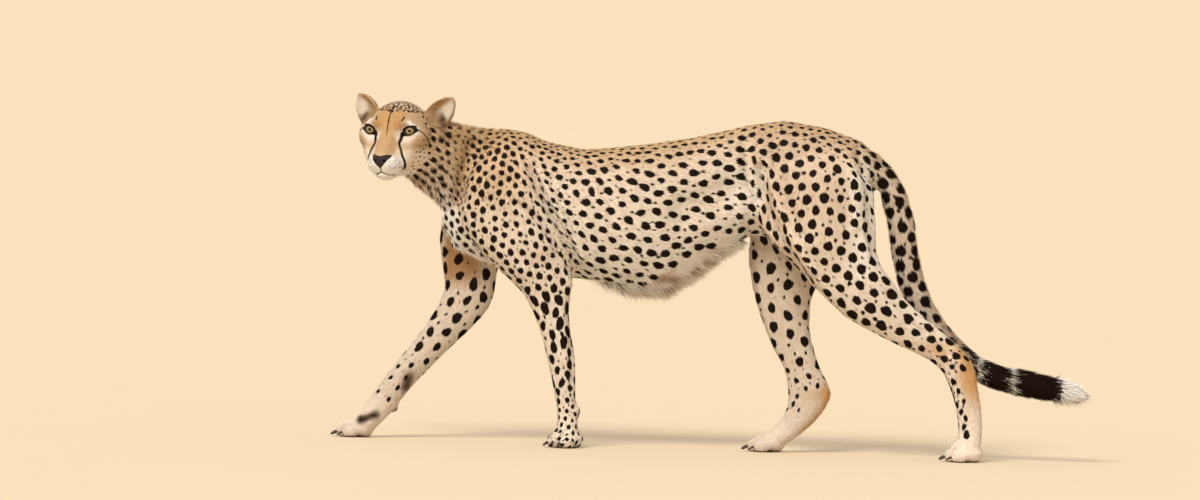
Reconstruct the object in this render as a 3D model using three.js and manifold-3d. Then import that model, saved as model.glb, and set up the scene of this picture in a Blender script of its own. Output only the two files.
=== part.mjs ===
// A life-size cheetah in mid walk, with its head turned to look out to its left.
// Millimetres, +Z up. It walks towards -X, and its left side faces -Y.
//
// The trunk, neck, tail and legs are lofted through cross sections. A section is given by the two
// points where it meets the outline seen from the side, by how far it lies from the middle plane
// and by its half width. The head is a fine ball drawn in onto a blend of rounded masses.
import * as THREE from "three";
import { mergeVertices } from "three/addons/utils/BufferGeometryUtils.js";
import Module from "manifold-3d";

const wasm = await Module();
wasm.setup();

// ---------------------------------------------------------------------------- driving dimensions

const GAP = 0.3; // left between neighbouring pieces
const SPACE = 3000; // larger than the animal
const FULLNESS = 2.25; // of a cross section: 2 is an ellipse, higher is squarer

const TRUNK_SIDES = 24;
const NECK_SIDES = 16;
const TAIL_SIDES = 10;
const LEG_SIDES = 10;
const HEAD_DETAIL = 8; // the head has 20 (n + 1)^2 triangles

// The head's own frame has +X to the animal's right, +Y forwards and +Z up.
const HEAD_PLACE = [-626, -108, 714]; // the point between the eyes
const HEAD_TURN = 160; // degrees about Z from facing +Y
const HEAD_CENTRE = [0, -42, -24]; // all of the head's surface is in sight from here
const EYE_RADIUS = 17.5;
const EYE_PLACE = [44.5, -17, 0];

const EAR_LEAN = 0.74; // radians outwards from upright
const EAR_TURN = 0.42; // radians outwards from facing forwards
const EAR_SHELL = { centre: [87, -93, 44], wide: 31.5, thick: 19, high: 46.5 };
const EAR_BOWL = { centre: [91, -81, 48], wide: 25.5, thick: 18, high: 39.5 };

const PALM = { place: [-5, 0, 20], radii: [35, 28, 27] };
const INSTEP = { ahead: 8, radii: [30, 25, 20] };
const TOES = { ahead: [20, 31, 32, 23], aside: [-25, -9.5, 9, 24.5], up: 13, radii: [23, 12.5, 17] };
const CLAW = { root: 3.6, tip: 1.3, height: 12, reach: 13, drop: 7.5, overlap: 6 };

// ----------------------------------------------------------------------------------------- solids

function solidOf(geometry) {
  const bare = geometry.clone();
  bare.deleteAttribute("normal");
  bare.deleteAttribute("uv");
  const merged = mergeVertices(bare, 1e-4);
  const mesh = new wasm.Mesh({
    numProp: 3,
    vertProperties: new Float32Array(merged.attributes.position.array),
    triVerts: new Uint32Array(merged.index.array),
  });
  return new wasm.Manifold(mesh);
}

function geometryOf(solid) {
  const mesh = solid.getMesh();
  const geometry = new THREE.BufferGeometry();
  geometry.setAttribute("position", new THREE.BufferAttribute(mesh.vertProperties, 3));
  geometry.setIndex(new THREE.BufferAttribute(mesh.triVerts, 1));
  return geometry;
}

const fuse = (solids) => solids.reduce((all, solid) => all.add(solid));
const cutBy = (solid, tools) => tools.reduce((left, tool) => left.subtract(tool), solid);
const biggest = (solid) => solid.decompose().sort((a, b) => b.volume() - a.volume())[0];

// An egg with its long rows of faces around Y.
function egg(centre, radii, rings, turn = 0) {
  const geometry = new THREE.SphereGeometry(1, Math.round(rings * 1.4), rings);
  return solidOf(geometry.scale(...radii).rotateZ(turn).translate(...centre));
}

// The half of space that lies beyond a plane, half a gap away from it.
function beyond(point, normal) {
  const up = new THREE.Vector3(0, 0, 1);
  const turn = new THREE.Quaternion().setFromUnitVectors(up, new THREE.Vector3(...normal).normalize());
  const block = new THREE.BoxGeometry(SPACE, SPACE, SPACE).translate(0, 0, (SPACE + GAP) / 2);
  return solidOf(block.applyQuaternion(turn).translate(...point));
}

// Cuts a solid into a row of pieces, one more than there are cuts. A cut has a point and the way
// that the row runs there.
function cutAlong(solid, cuts) {
  const pieces = [];
  let rest = solid;
  for (const { point, way } of cuts) {
    const back = way.map((n) => -n);
    pieces.push(biggest(rest.intersect(beyond(point, back))));
    rest = rest.intersect(beyond(point, way));
  }
  pieces.push(biggest(rest));
  return pieces;
}

// ------------------------------------------------------------------------------------------ lofts

// A cross section: its two outline points [x, z], its place off the middle plane, its half width.
const section = (a, b, y, half) => ({ a, b, y, half });

const splineOf = (points) => new THREE.CatmullRomCurve3(points.map((p) => new THREE.Vector3(...p)));

// The rings of a tube through sections, with between steps from each to the next.
function ringsOf(sections, between, grow) {
  const aLine = splineOf(sections.map(({ a, y }) => [a[0], y, a[1]]));
  const bLine = splineOf(sections.map(({ b, y }) => [b[0], y, b[1]]));
  const halfLine = splineOf(sections.map(({ half }, i) => [half, 20 * i, 0]));
  const steps = (sections.length - 1) * between;
  const rings = [];
  for (let i = 0; i <= steps; i++) {
    const a = aLine.getPoint(i / steps);
    const centre = bLine.getPoint(i / steps).add(a).multiplyScalar(0.5);
    const arm = a.sub(centre);
    arm.setLength(arm.length() + grow);
    rings.push({ centre, arm, half: halfLine.getPoint(i / steps).x + grow });
  }
  for (const [end, next] of [[0, 1], [steps, steps - 1]]) {
    rings[end].centre.add(rings[end].centre.clone().sub(rings[next].centre).setLength(grow));
  }
  return rings;
}

// A closed tube through sections. grow makes it that much larger all round.
function loft(sections, { around, between = 1, grow = 0 }) {
  const rings = ringsOf(sections, between, grow);
  const places = [];
  for (const { centre, arm, half } of rings) {
    for (let j = 0; j < around; j++) {
      const turn = (2 * Math.PI * j) / around;
      const [c, s] = [Math.cos(turn), Math.sin(turn)];
      const r = (Math.abs(c) ** FULLNESS + Math.abs(s) ** FULLNESS) ** (-1 / FULLNESS);
      places.push(centre.x + arm.x * c * r, centre.y + half * s * r, centre.z + arm.z * c * r);
    }
  }
  const steps = rings.length - 1;
  const first = rings.length * around;
  places.push(...rings[0].centre.toArray(), ...rings[steps].centre.toArray());
  const faces = [];
  for (let j = 0; j < around; j++) {
    const k = (j + 1) % around;
    for (let i = 0; i < steps; i++) {
      const [p, q] = [i * around + j, i * around + k];
      faces.push([p, q, q + around], [p, q + around, p + around]);
    }
    faces.push([first, k, j], [first + 1, steps * around + j, steps * around + k]);
  }
  const geometry = new THREE.BufferGeometry();
  geometry.setAttribute("position", new THREE.Float32BufferAttribute(places, 3));
  geometry.setIndex(faces.flat());
  const made = solidOf(geometry);
  if (made.volume() > 0) return made;
  geometry.setIndex(faces.flatMap(([p, q, r]) => [q, p, r]));
  return solidOf(geometry);
}

// --------------------------------------------------------------------------------- rounded masses

// The distance to an ellipsoid, about true near its surface, on both sides of the head alike.
const mass = (centre, radii) => (x, y, z) => {
  const p = [Math.abs(x) - centre[0], y - centre[1], z - centre[2]];
  const near = Math.hypot(p[0] / radii[0], p[1] / radii[1], p[2] / radii[2]);
  const slope = Math.hypot(p[0] / radii[0] ** 2, p[1] / radii[1] ** 2, p[2] / radii[2] ** 2);
  return slope < 1e-9 ? -Math.min(...radii) : (near * (near - 1)) / slope;
};

// The distance to a rod from p to q, whose radius runs from rp to rq.
const rod = (p, q, rp, rq) => (x, y, z) => {
  const along = [q[0] - p[0], q[1] - p[1], q[2] - p[2]];
  const from = [Math.abs(x) - p[0], y - p[1], z - p[2]];
  const dot = from[0] * along[0] + from[1] * along[1] + from[2] * along[2];
  const t = Math.min(1, Math.max(0, dot / (along[0] ** 2 + along[1] ** 2 + along[2] ** 2)));
  return Math.hypot(...from.map((f, i) => f - along[i] * t)) - (rp + (rq - rp) * t);
};

// Joins two distances with a seam rounded by soft, or hollows the first with the second.
const blend = (d, e, soft) => {
  const h = Math.max(soft - Math.abs(d - e), 0) / soft;
  return Math.min(d, e) - (h * h * soft) / 4;
};
const hollow = (d, e, soft) => -blend(-d, e, soft);

// A fine ball whose points are drawn in towards centre until they meet the surface, less grow.
function drawnIn(distance, centre, detail, grow) {
  const geometry = new THREE.IcosahedronGeometry(1, detail);
  const places = geometry.attributes.position;
  const [start, enough, caution] = [300, 0.01, 0.7];
  for (let i = 0; i < places.count; i++) {
    const way = new THREE.Vector3().fromBufferAttribute(places, i).normalize().toArray();
    const at = (reach) => centre.map((c, k) => c + way[k] * reach);
    let reach = start;
    let left = start;
    while (left > enough && reach > 1) {
      left = distance(...at(reach)) - grow;
      reach -= Math.max(left, 0) * caution;
    }
    places.setXYZ(i, ...at(reach));
  }
  return solidOf(geometry);
}

// ------------------------------------------------------------------------------------------- head

const SKULL = [mass([0, -76, 10], [66, 64, 58]), mass([0, -38, 8], [48, 42, 42])];
const FACE = [
  mass([34, -14, 17], [22, 15, 11]), // brow
  mass([50, -38, -12], [35, 38, 34]), // cheekbone
  mass([43, -60, -46], [36, 40, 43]), // cheek
  mass([47, -84, -38], [37, 34, 42]), // ruff behind the cheek
  mass([33, -14, -52], [27, 26, 34]), // between cheek and muzzle
  rod([0, -20, -6], [0, 27, -55], 25, 17), // bridge of the nose
  mass([0, 4, -72], [35, 40, 29]), // muzzle
  mass([18, 22, -78], [21, 21, 19]), // whisker pad
  mass([0, 39, -64], [18, 11, 12]), // nose
  mass([0, 12, -98], [21, 20, 13]), // chin
  rod([0, -2, -94], [24, -60, -72], 17, 30), // jaw
];
const SOCKET = mass([45, 4, -1], [17, 12, 12]);

function headDistance(x, y, z) {
  const skull = blend(SKULL[0](x, y, z), SKULL[1](x, y, z), 26);
  const whole = FACE.map((m) => m(x, y, z)).reduce((d, e) => blend(d, e, 16), skull);
  return hollow(whole, SOCKET(x, y, z), 12);
}

const SIDES = { right: 1, left: -1 };
const mirrored = ([x, y, z], side) => [side * x, y, z];
const eyeball = (side, radius) => egg(mirrored(EYE_PLACE, side), [radius, radius, radius], 8);

// An ear's outside or its bowl, filled: a leaning ball that narrows a little towards its tip and
// is flatter on the side towards the crown.
function earBall(side, { centre, wide, thick, high }, grow = 0) {
  const geometry = new THREE.SphereGeometry(1, 13, 8).rotateX(Math.PI / 2);
  const places = geometry.attributes.position;
  for (let i = 0; i < places.count; i++) {
    const [x, z] = [places.getX(i), places.getZ(i)];
    const flatter = x * side < 0 ? 0.78 : 1;
    places.setX(i, x * flatter * (1.08 - 0.24 * z));
  }
  geometry.scale(wide + grow, thick + grow, high + grow);
  geometry.rotateY(side * EAR_LEAN).rotateZ(-side * EAR_TURN);
  return solidOf(geometry.translate(...mirrored(centre, side)));
}

const headTool = drawnIn(headDistance, HEAD_CENTRE, HEAD_DETAIL, GAP);
const eyeRooms = Object.values(SIDES).map((side) => eyeball(side, EYE_RADIUS + GAP));
const head = cutBy(drawnIn(headDistance, HEAD_CENTRE, HEAD_DETAIL, 0), eyeRooms);

function ear(side) {
  return biggest(cutBy(earBall(side, EAR_SHELL), [earBall(side, EAR_BOWL), headTool]));
}

const headGroup = new THREE.Group();
headGroup.position.set(...HEAD_PLACE);
headGroup.rotation.z = THREE.MathUtils.degToRad(HEAD_TURN);
headGroup.updateMatrixWorld(true);
const placed = (solid) => solidOf(geometryOf(solid).applyMatrix4(headGroup.matrixWorld));
const headRooms = [headTool, earBall(1, EAR_SHELL, GAP), earBall(-1, EAR_SHELL, GAP)].map(placed);

// ------------------------------------------------------------------------------------------- legs

// Each from the shoulder or hip down: front point, back point, place off the middle, half width.
const FORELEG_LEFT = [
  section([-371, 698], [-310, 690], -40, 20),
  section([-433, 640], [-252, 601], -62, 36),
  section([-462, 547], [-226, 510], -66, 42),
  section([-432, 472], [-205, 441], -68, 42),
  section([-367, 405], [-192, 393], -68, 37),
  section([-308, 352], [-193, 361], -67, 31),
  section([-281, 307], [-196, 310], -66, 27),
  section([-260, 255], [-189, 258], -65, 24),
  section([-244, 198], [-178, 201], -64, 22),
  section([-231, 146], [-176, 148], -63, 21),
  section([-221, 100], [-173, 97], -62, 20),
  section([-216, 61], [-168, 63], -61, 21),
  section([-218, 34], [-166, 34], -60, 25),
  section([-216, 14], [-172, 14], -60, 22),
];
const FORELEG_RIGHT = [
  section([-394, 693], [-333, 686], 40, 20),
  section([-456, 628], [-275, 588], 60, 35),
  section([-492, 546], [-294, 496], 64, 39),
  section([-505, 465], [-350, 436], 66, 38),
  section([-496, 401], [-366, 389], 66, 34),
  section([-489, 355], [-371, 339], 66, 31),
  section([-508, 304], [-393, 292], 65, 29),
  section([-547, 238], [-475, 206], 64, 26),
  section([-587, 186], [-526, 151], 63, 23),
  section([-620, 141], [-563, 108], 62, 21),
  section([-644, 105], [-584, 78], 61, 20),
  section([-668, 66], [-612, 44], 60, 21),
  section([-688, 42], [-638, 18], 60, 25),
  section([-702, 26], [-660, 8], 60, 20),
];
const HINDLEG_LEFT = [
  section([325, 724], [425, 704], -34, 22),
  section([247, 665], [490, 628], -54, 44),
  section([220, 583], [499, 566], -61, 50),
  section([239, 511], [504, 502], -64, 51),
  section([294, 457], [513, 451], -66, 46),
  section([359, 391], [544, 411], -67, 40),
  section([437, 322], [573, 371], -67, 34),
  section([507, 286], [609, 340], -67, 28),
  section([573, 256], [652, 307], -66, 23),
  section([624, 235], [699, 267], -66, 20),
  section([662, 206], [735, 229], -65, 22),
  section([682, 168], [749, 170], -64, 20),
  section([695, 129], [757, 131], -64, 19),
  section([704, 84], [762, 84], -63, 19),
  section([704, 40], [760, 40], -62, 25),
  section([706, 16], [752, 14], -62, 22),
];
const HINDLEG_RIGHT = [
  section([285, 722], [395, 704], 34, 22),
  section([225, 653], [465, 615], 54, 44),
  section([205, 571], [463, 546], 60, 48),
  section([210, 491], [431, 476], 63, 46),
  section([212, 427], [394, 424], 64, 41),
  section([226, 360], [364, 359], 65, 36),
  section([249, 297], [360, 296], 65, 30),
  section([274, 240], [371, 244], 65, 25),
  section([301, 195], [391, 192], 64, 22),
  section([312, 145], [416, 137], 64, 22),
  section([311, 99], [390, 84], 63, 20),
  section([288, 64], [352, 46], 62, 21),
  section([262, 38], [318, 20], 61, 25),
  section([244, 26], [290, 10], 61, 20),
];

const belowFloor = solidOf(new THREE.BoxGeometry(SPACE, SPACE, SPACE).translate(0, 0, -SPACE / 2));

// A blunt claw that leaves the toe's tip at root and bends down towards the floor.
function claw(root, scale, turn, grow) {
  const sections = [0, 0.55, 1].map((t) => {
    const radius = CLAW.root + (CLAW.tip - CLAW.root) * t ** 1.4;
    const [x, z] = [-CLAW.reach * t, CLAW.height - CLAW.drop * t * t];
    return section([x - radius * t, z + radius], [x, z - radius], 0, radius * 0.7);
  });
  const shape = geometryOf(loft(sections, { around: 4, grow }));
  return solidOf(shape.scale(scale, scale, scale).rotateZ(turn).translate(...root));
}

// A foot on the floor, as its pads and its claws' roots. Its palm is at x, y, its toes point
// towards -X but for turn, and rise is the height of the middle of its instep.
function foot({ at: [x, y], scale, turn, rise }) {
  const [c, s] = [Math.cos(turn) * scale, Math.sin(turn) * scale];
  const place = (ahead, aside, up) => [x - ahead * c - aside * s, y + aside * c - ahead * s, up * scale];
  const pad = (where, radii, rings) => egg(place(...where), radii.map((r) => r * scale), rings, turn);
  const toes = TOES.ahead.map((ahead, i) => pad([ahead, TOES.aside[i], TOES.up], TOES.radii, 5));
  const pads = [pad(PALM.place, PALM.radii, 6), pad([INSTEP.ahead, 0, rise], INSTEP.radii, 5), ...toes];
  const ends = TOES.ahead.map((ahead) => ahead + TOES.radii[0] - CLAW.overlap);
  return { pads, clawRoots: ends.map((ahead, i) => place(ahead, TOES.aside[i], 0)) };
}

// A whole leg with its foot, room for it in its neighbours, and its claws.
function leg(sections, stance, wristPads = []) {
  const { pads, clawRoots } = foot(stance);
  const clawsOf = (grow) => clawRoots.map((root) => claw(root, stance.scale, stance.turn, grow));
  const limb = (grow) => loft(sections, { around: LEG_SIDES, between: 2, grow });
  return {
    solid: cutBy(fuse([limb(0), ...pads, ...wristPads]), [belowFloor, ...clawsOf(GAP)]),
    room: limb(GAP),
    claws: clawsOf(0),
  };
}

const legs = {
  foreleg_left: leg(FORELEG_LEFT, { at: [-188, -60], scale: 1, turn: 0.6, rise: 32 }, [
    egg([-175, -62, 84], [13, 11, 21], 6),
  ]),
  foreleg_right: leg(FORELEG_RIGHT, { at: [-675, 60], scale: 1, turn: 0.1, rise: 20 }, [
    egg([-596, 61, 72], [14, 11, 13], 6),
  ]),
  hindleg_left: leg(HINDLEG_LEFT, { at: [728, -62], scale: 1.02, turn: 0.1, rise: 32 }),
  hindleg_right: leg(HINDLEG_RIGHT, { at: [276, 61], scale: 1.02, turn: 0.1, rise: 20 }),
};

// The lengths that each leg is cut into, and the joints between them.
const LENGTHS = {
  foreleg_left: {
    names: ["upper", "forearm", "paw"],
    cuts: [{ point: [-250, 0, 368], way: [0.15, 0, -1] }, { point: [-200, 0, 108], way: [0.15, 0, -1] }],
  },
  foreleg_right: {
    names: ["upper", "forearm", "paw"],
    cuts: [{ point: [-435, 0, 352], way: [-0.25, 0, -1] }, { point: [-616, 0, 92], way: [-0.75, 0, -1] }],
  },
  hindleg_left: {
    names: ["thigh", "shank", "metatarsus", "paw"],
    cuts: [
      { point: [450, 0, 405], way: [0.7, 0, -1] },
      { point: [700, 0, 216], way: [0.5, 0, -1] },
      { point: [733, 0, 66], way: [0, 0, -1] },
    ],
  },
  hindleg_right: {
    names: ["thigh", "shank", "metatarsus", "paw"],
    cuts: [
      { point: [300, 0, 372], way: [0, 0, -1] },
      { point: [360, 0, 148], way: [0.1, 0, -1] },
      { point: [322, 0, 62], way: [-1, 0, -1] },
    ],
  },
};

// --------------------------------------------------------------------------- trunk, neck and tail

// Each section runs from the back or nape to the belly or throat.
const TRUNK = [
  section([-457, 651], [-500, 505], 0, 42),
  section([-422, 712], [-465, 448], 0, 72),
  section([-372, 727], [-395, 418], 0, 88),
  section([-314, 720], [-302, 399], 0, 95),
  section([-256, 699], [-222, 392], 0, 100),
  section([-175, 686], [-129, 380], 0, 106),
  section([-94, 694], [-48, 362], 0, 108),
  section([-14, 706], [21, 362], 0, 104),
  section([66, 720], [89, 404], 0, 94),
  section([134, 737], [149, 454], 0, 84),
  section([202, 755], [216, 500], 0, 78),
  section([283, 768], [304, 494], 0, 80),
  section([375, 755], [396, 498], 0, 76),
  section([457, 728], [468, 535], 0, 60),
  section([492, 700], [486, 593], 0, 34),
];
const NECK = [
  section([-325, 690], [-386, 520], 0, 48),
  section([-390, 724], [-467, 494], -2, 60),
  section([-436, 727], [-508, 545], -8, 62),
  section([-476, 735], [-541, 574], -18, 60),
  section([-512, 741], [-572, 598], -28, 57),
  section([-552, 738], [-606, 622], -42, 50),
  section([-588, 735], [-626, 642], -60, 34),
];
const TAIL = [
  section([494, 706], [458, 656], 0, 20),
  section([535, 664], [488, 634], 0, 24),
  section([564, 620], [508, 606], 0, 25),
  section([587, 555], [528, 542], 2, 25),
  section([599, 482], [540, 471], 4, 25),
  section([615, 418], [558, 400], 6, 24),
  section([638, 362], [586, 341], 8, 24),
  section([672, 312], [622, 285], 10, 24),
  section([708, 275], [668, 236], 12, 24),
  section([751, 239], [725, 192], 14, 25),
  section([802, 220], [783, 167], 15, 27),
  section([855, 213], [846, 153], 16, 29),
  section([909, 201], [899, 146], 17, 28),
  section([955, 189], [950, 143], 18, 22),
  section([980, 178], [978, 146], 18, 16),
  section([996, 165], [994, 151], 18, 6),
];
const TRUNK_CUTS = [{ point: [-190, 0, 0], way: [1, 0, 0] }, { point: [190, 0, 0], way: [1, 0, 0] }];
const TAIL_CUTS = [
  { point: [572, 0, 500], way: [0.25, 0, -1] },
  { point: [645, 0, 300], way: [0.75, 0, -1] },
  { point: [790, 0, 195], way: [1, 0, -0.15] },
];

const legRooms = Object.values(legs).map(({ room }) => room);
const neckLoft = (grow) => loft(NECK, { around: NECK_SIDES, grow });
const neck = biggest(cutBy(neckLoft(0), [...headRooms, ...legRooms]));
const tail = (grow) => loft(TAIL, { around: TAIL_SIDES, grow });
const trunk = cutBy(loft(TRUNK, { around: TRUNK_SIDES }), [
  ...legRooms,
  neckLoft(GAP),
  tail(GAP),
]);

// ------------------------------------------------------------------------------------------ scene

const finish = (color, roughness) => new THREE.MeshStandardMaterial({ color, roughness, metalness: 0 });
const COAT = finish(0xd6ab75, 0.85);
const TAIL_TIP = finish(0xece2d2, 0.85);
const EYE = finish(0x7a4a1c, 0.1);
const HORN = finish(0x3a322b, 0.45);

function add(group, name, solid, material) {
  const mesh = new THREE.Mesh(geometryOf(solid), material);
  mesh.name = name;
  group.add(mesh);
}

const cheetah = new THREE.Group();
cheetah.add(headGroup);
add(headGroup, "head", head, COAT);
for (const [name, side] of Object.entries(SIDES)) {
  add(headGroup, "eye_" + name, eyeball(side, EYE_RADIUS), EYE);
  add(headGroup, "ear_" + name, ear(side), COAT);
}
add(cheetah, "neck", neck, COAT);
const trunkNames = ["chest", "belly", "rump"];
cutAlong(trunk, TRUNK_CUTS).forEach((piece, i) => add(cheetah, trunkNames[i], piece, COAT));
cutAlong(tail(0), TAIL_CUTS).forEach((piece, i) => {
  add(cheetah, "tail_" + (i + 1), piece, i < TAIL_CUTS.length ? COAT : TAIL_TIP);
});
for (const [limb, { solid, claws }] of Object.entries(legs)) {
  const { names, cuts } = LENGTHS[limb];
  cutAlong(solid, cuts).forEach((piece, i) => add(cheetah, limb + "_" + names[i], piece, COAT));
  claws.forEach((one, i) => add(cheetah, "claw_" + limb + "_" + (i + 1), one, HORN));
}

// The origin is on the floor, under the middle of the animal.
cheetah.updateMatrixWorld(true);
const box = new THREE.Box3().setFromObject(cheetah, true);
const middle = box.getCenter(new THREE.Vector3());
cheetah.position.set(-middle.x, -middle.y, -box.min.z);

export default cheetah;
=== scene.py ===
# A life-size cheetah in mid walk, its head turned to look out to its left.
# Metres, +Z up. It walks towards -X, and its left side faces -Y.
#
# The order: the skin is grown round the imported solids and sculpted, every vertex of it learns what
# coat grows there, the spots are scattered, and short tufts are laid over it all.
import math

import bmesh
import bpy
import numpy as np
from mathutils import Matrix
from mathutils import Vector
from mathutils import noise
from mathutils.bvhtree import BVHTree
from mathutils.kdtree import KDTree


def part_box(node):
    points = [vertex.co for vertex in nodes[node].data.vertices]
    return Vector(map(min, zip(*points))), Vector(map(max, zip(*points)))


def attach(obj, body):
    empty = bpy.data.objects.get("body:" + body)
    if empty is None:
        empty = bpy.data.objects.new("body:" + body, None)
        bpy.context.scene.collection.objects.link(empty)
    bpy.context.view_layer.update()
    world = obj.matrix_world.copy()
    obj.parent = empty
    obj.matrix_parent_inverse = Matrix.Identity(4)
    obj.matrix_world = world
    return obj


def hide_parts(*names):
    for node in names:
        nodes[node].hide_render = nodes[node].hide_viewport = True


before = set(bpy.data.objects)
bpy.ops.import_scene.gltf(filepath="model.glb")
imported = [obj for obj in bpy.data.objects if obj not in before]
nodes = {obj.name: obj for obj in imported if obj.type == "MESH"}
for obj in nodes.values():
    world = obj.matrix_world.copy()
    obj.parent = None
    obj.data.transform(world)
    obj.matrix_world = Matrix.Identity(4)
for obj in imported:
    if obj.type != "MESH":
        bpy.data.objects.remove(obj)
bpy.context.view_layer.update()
rng = np.random.default_rng(11)
mm = 0.001
sides = {"left": -1, "right": 1}
bodyMiddle = 0.025  # y of the plane down the middle of the trunk


# ---------- small helpers

def unit(vectors):
    return vectors / np.maximum(np.linalg.norm(vectors, axis=-1, keepdims=True), 1e-12)


def ease(low, high, x):  # 0 below low, 1 above high, smooth between
    t = np.clip((x - low) / (high - low), 0, 1)
    return t * t * (3 - 2 * t)


def dots(a, b):
    return (a * b).sum(-1)


def middleOf(name):
    low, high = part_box(name)
    return np.array((low + high) / 2)


def linear(red, green, blue):  # a colour as a screen shows it, 0 to 255, as light
    screen = np.array([red, green, blue]) / 255
    return np.where(screen < 0.04045, screen / 12.92, ((screen + 0.055) / 1.055) ** 2.4)


def addObject(name, mesh):
    piece = bpy.data.objects.new(name, mesh)
    bpy.context.scene.collection.objects.link(piece)
    return piece


def meshFrom(bm, name):
    mesh = bpy.data.meshes.new(name)
    bm.to_mesh(mesh)
    bm.free()
    return mesh


def readAll(items, key, width, kind=np.float32):  # a row of numbers for each item
    values = np.empty(len(items) * width, kind)
    items.foreach_get(key, values)
    return values.reshape(-1, width)


def coordinates(mesh):
    return readAll(mesh.vertices, "co", 3).astype(float)


def setCoordinates(mesh, co):
    mesh.vertices.foreach_set("co", co.astype(np.float32).ravel())
    mesh.update()


def normalsOf(mesh):
    return readAll(mesh.vertices, "normal", 3).astype(float)


def trianglesOf(mesh):
    mesh.calc_loop_triangles()
    return readAll(mesh.loop_triangles, "vertices", 3, np.int32)


def areasOf(triangles, co):
    a, b, c = (co[triangles[:, k]] for k in range(3))
    return np.linalg.norm(np.cross(b - a, c - a), axis=1) / 2


def storeNumbers(mesh, name, values):
    mesh.attributes.new(name, "FLOAT", "POINT").data.foreach_set("value", values.astype(np.float32))


def storeColours(mesh, name, values):
    rgba = np.ones((len(values), 4), np.float32)
    rgba[:, :3] = values
    mesh.attributes.new(name, "FLOAT_COLOR", "POINT").data.foreach_set("color", rgba.ravel())


# How far points lie from a route of straight lengths, how far along it (0 to 1 and its index) the
# nearest place is, and the way that the route runs there.
def nearRoute(points, route):
    route = np.asarray(route, float)
    best = np.full(len(points), np.inf)
    along = np.zeros(len(points))
    way = np.zeros((len(points), route.shape[1]))
    for i, (start, end) in enumerate(zip(route[:-1], route[1:])):
        run = end - start
        t = np.clip((points - start) @ run / (run @ run), 0, 1)
        away = np.linalg.norm(points - start - t[:, None] * run, axis=1)
        closer = away < best
        best = np.where(closer, away, best)
        along = np.where(closer, i + t, along)
        way[closer] = run / np.linalg.norm(run)
    return best, along, way


# ---------- the head's own frame: u to the animal's right, v forwards, w up, in millimetres

eyes = {"radius": 17.5 * mm, "behind": 17 * mm, "wider": 2.4 * mm, "higher": 1.8 * mm,
        "aside": 0.16}  # how far they look to its left
eyeCentres = {side: middleOf("eye_" + side) for side in sides}
headRight = unit(eyeCentres["right"] - eyeCentres["left"])
headUp = np.array([0.0, 0.0, 1.0])
headForward = np.cross(headUp, headRight)
headAxes = np.array([headRight, headForward, headUp])
betweenEyes = (eyeCentres["left"] + eyeCentres["right"]) / 2 + headForward * eyes["behind"]
for side, sign in sides.items():
    eyeCentres[side] = eyeCentres[side] + headRight * sign * eyes["wider"] + headUp * eyes["higher"]


def toHead(points):
    return (points - betweenEyes) @ headAxes.T / mm


def fromHead(places):
    return betweenEyes + np.asarray(places, float) * mm @ headAxes


def folded(places):  # both sides of the head laid onto one
    u, v, w = places.T
    return np.abs(u), v, w


# ---------- the lie of the body: a route down the middle of each part, from its root to its end

bones = {
    "spine": [(-0.66, 0.0, 0.67), (-0.52, 0.025, 0.61), (-0.37, 0.025, 0.56), (-0.17, 0.025, 0.54),
              (0.03, 0.025, 0.59), (0.21, 0.025, 0.64), (0.37, 0.025, 0.68)],
    "tail": [(0.36, 0.025, 0.69), (0.41, 0.025, 0.61), (0.435, 0.027, 0.53), (0.452, 0.029, 0.44),
             (0.486, 0.032, 0.35), (0.54, 0.035, 0.275), (0.612, 0.039, 0.215), (0.70, 0.04, 0.188),
             (0.80, 0.042, 0.17), (0.87, 0.043, 0.158)],
    "foreleg_left": [(-0.47, -0.03, 0.66), (-0.47, -0.04, 0.52), (-0.40, -0.042, 0.39),
                     (-0.36, -0.04, 0.29), (-0.325, -0.037, 0.10), (-0.318, -0.035, 0.035),
                     (-0.35, -0.05, 0.01)],
    "foreleg_right": [(-0.49, 0.08, 0.64), (-0.55, 0.09, 0.45), (-0.565, 0.09, 0.33),
                      (-0.64, 0.09, 0.22), (-0.725, 0.087, 0.115), (-0.785, 0.086, 0.03),
                      (-0.84, 0.086, 0.012)],
    "hindleg_left": [(0.25, -0.02, 0.68), (0.24, -0.035, 0.55), (0.33, -0.041, 0.40),
                     (0.45, -0.041, 0.30), (0.575, -0.04, 0.215), (0.603, -0.039, 0.12),
                     (0.606, -0.038, 0.03), (0.56, -0.037, 0.012)],
    "hindleg_right": [(0.22, 0.07, 0.66), (0.20, 0.085, 0.53), (0.168, 0.09, 0.36),
                      (0.21, 0.09, 0.21), (0.24, 0.089, 0.14), (0.195, 0.087, 0.055),
                      (0.11, 0.086, 0.012)],
}


# Where each paw stands, x and y in millimetres, how large it is, and how far it turns to the animal's
# right, in radians. Its toes and the gaps between them lie at these places across it.
feet = {
    "foreleg_left": ((-316.6, -34.6), 1.0, 0.6),
    "foreleg_right": ((-803.6, 85.4), 1.0, 0.1),
    "hindleg_left": ((599.4, -36.6), 1.02, 0.1),
    "hindleg_right": ((147.4, 86.4), 1.02, 0.1),
}
toes = {"middles": [-25, -9.5, 9, 24.5], "gaps": [-17.3, -0.3, 16.8]}

# The pads behind the wrists: where in metres, and how far they reach in millimetres.
wristPads = [(np.array([-0.291, -0.037, 0.078]), 13), (np.array([-0.716, 0.086, 0.064]), 12)]


def toPaw(points, leg):  # how far ahead of the palm, to its own right and up, in millimetres
    (x, y), scale, turn = feet[leg]
    dx, dy = points[:, 0] / mm - x, points[:, 1] / mm - y
    ahead = -(dx * math.cos(turn) + dy * math.sin(turn)) / scale
    aside = (dy * math.cos(turn) - dx * math.sin(turn)) / scale
    return ahead, aside, points[:, 2] / mm / scale


# ---------- the skin: one voxel surface round every node of flesh

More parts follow.
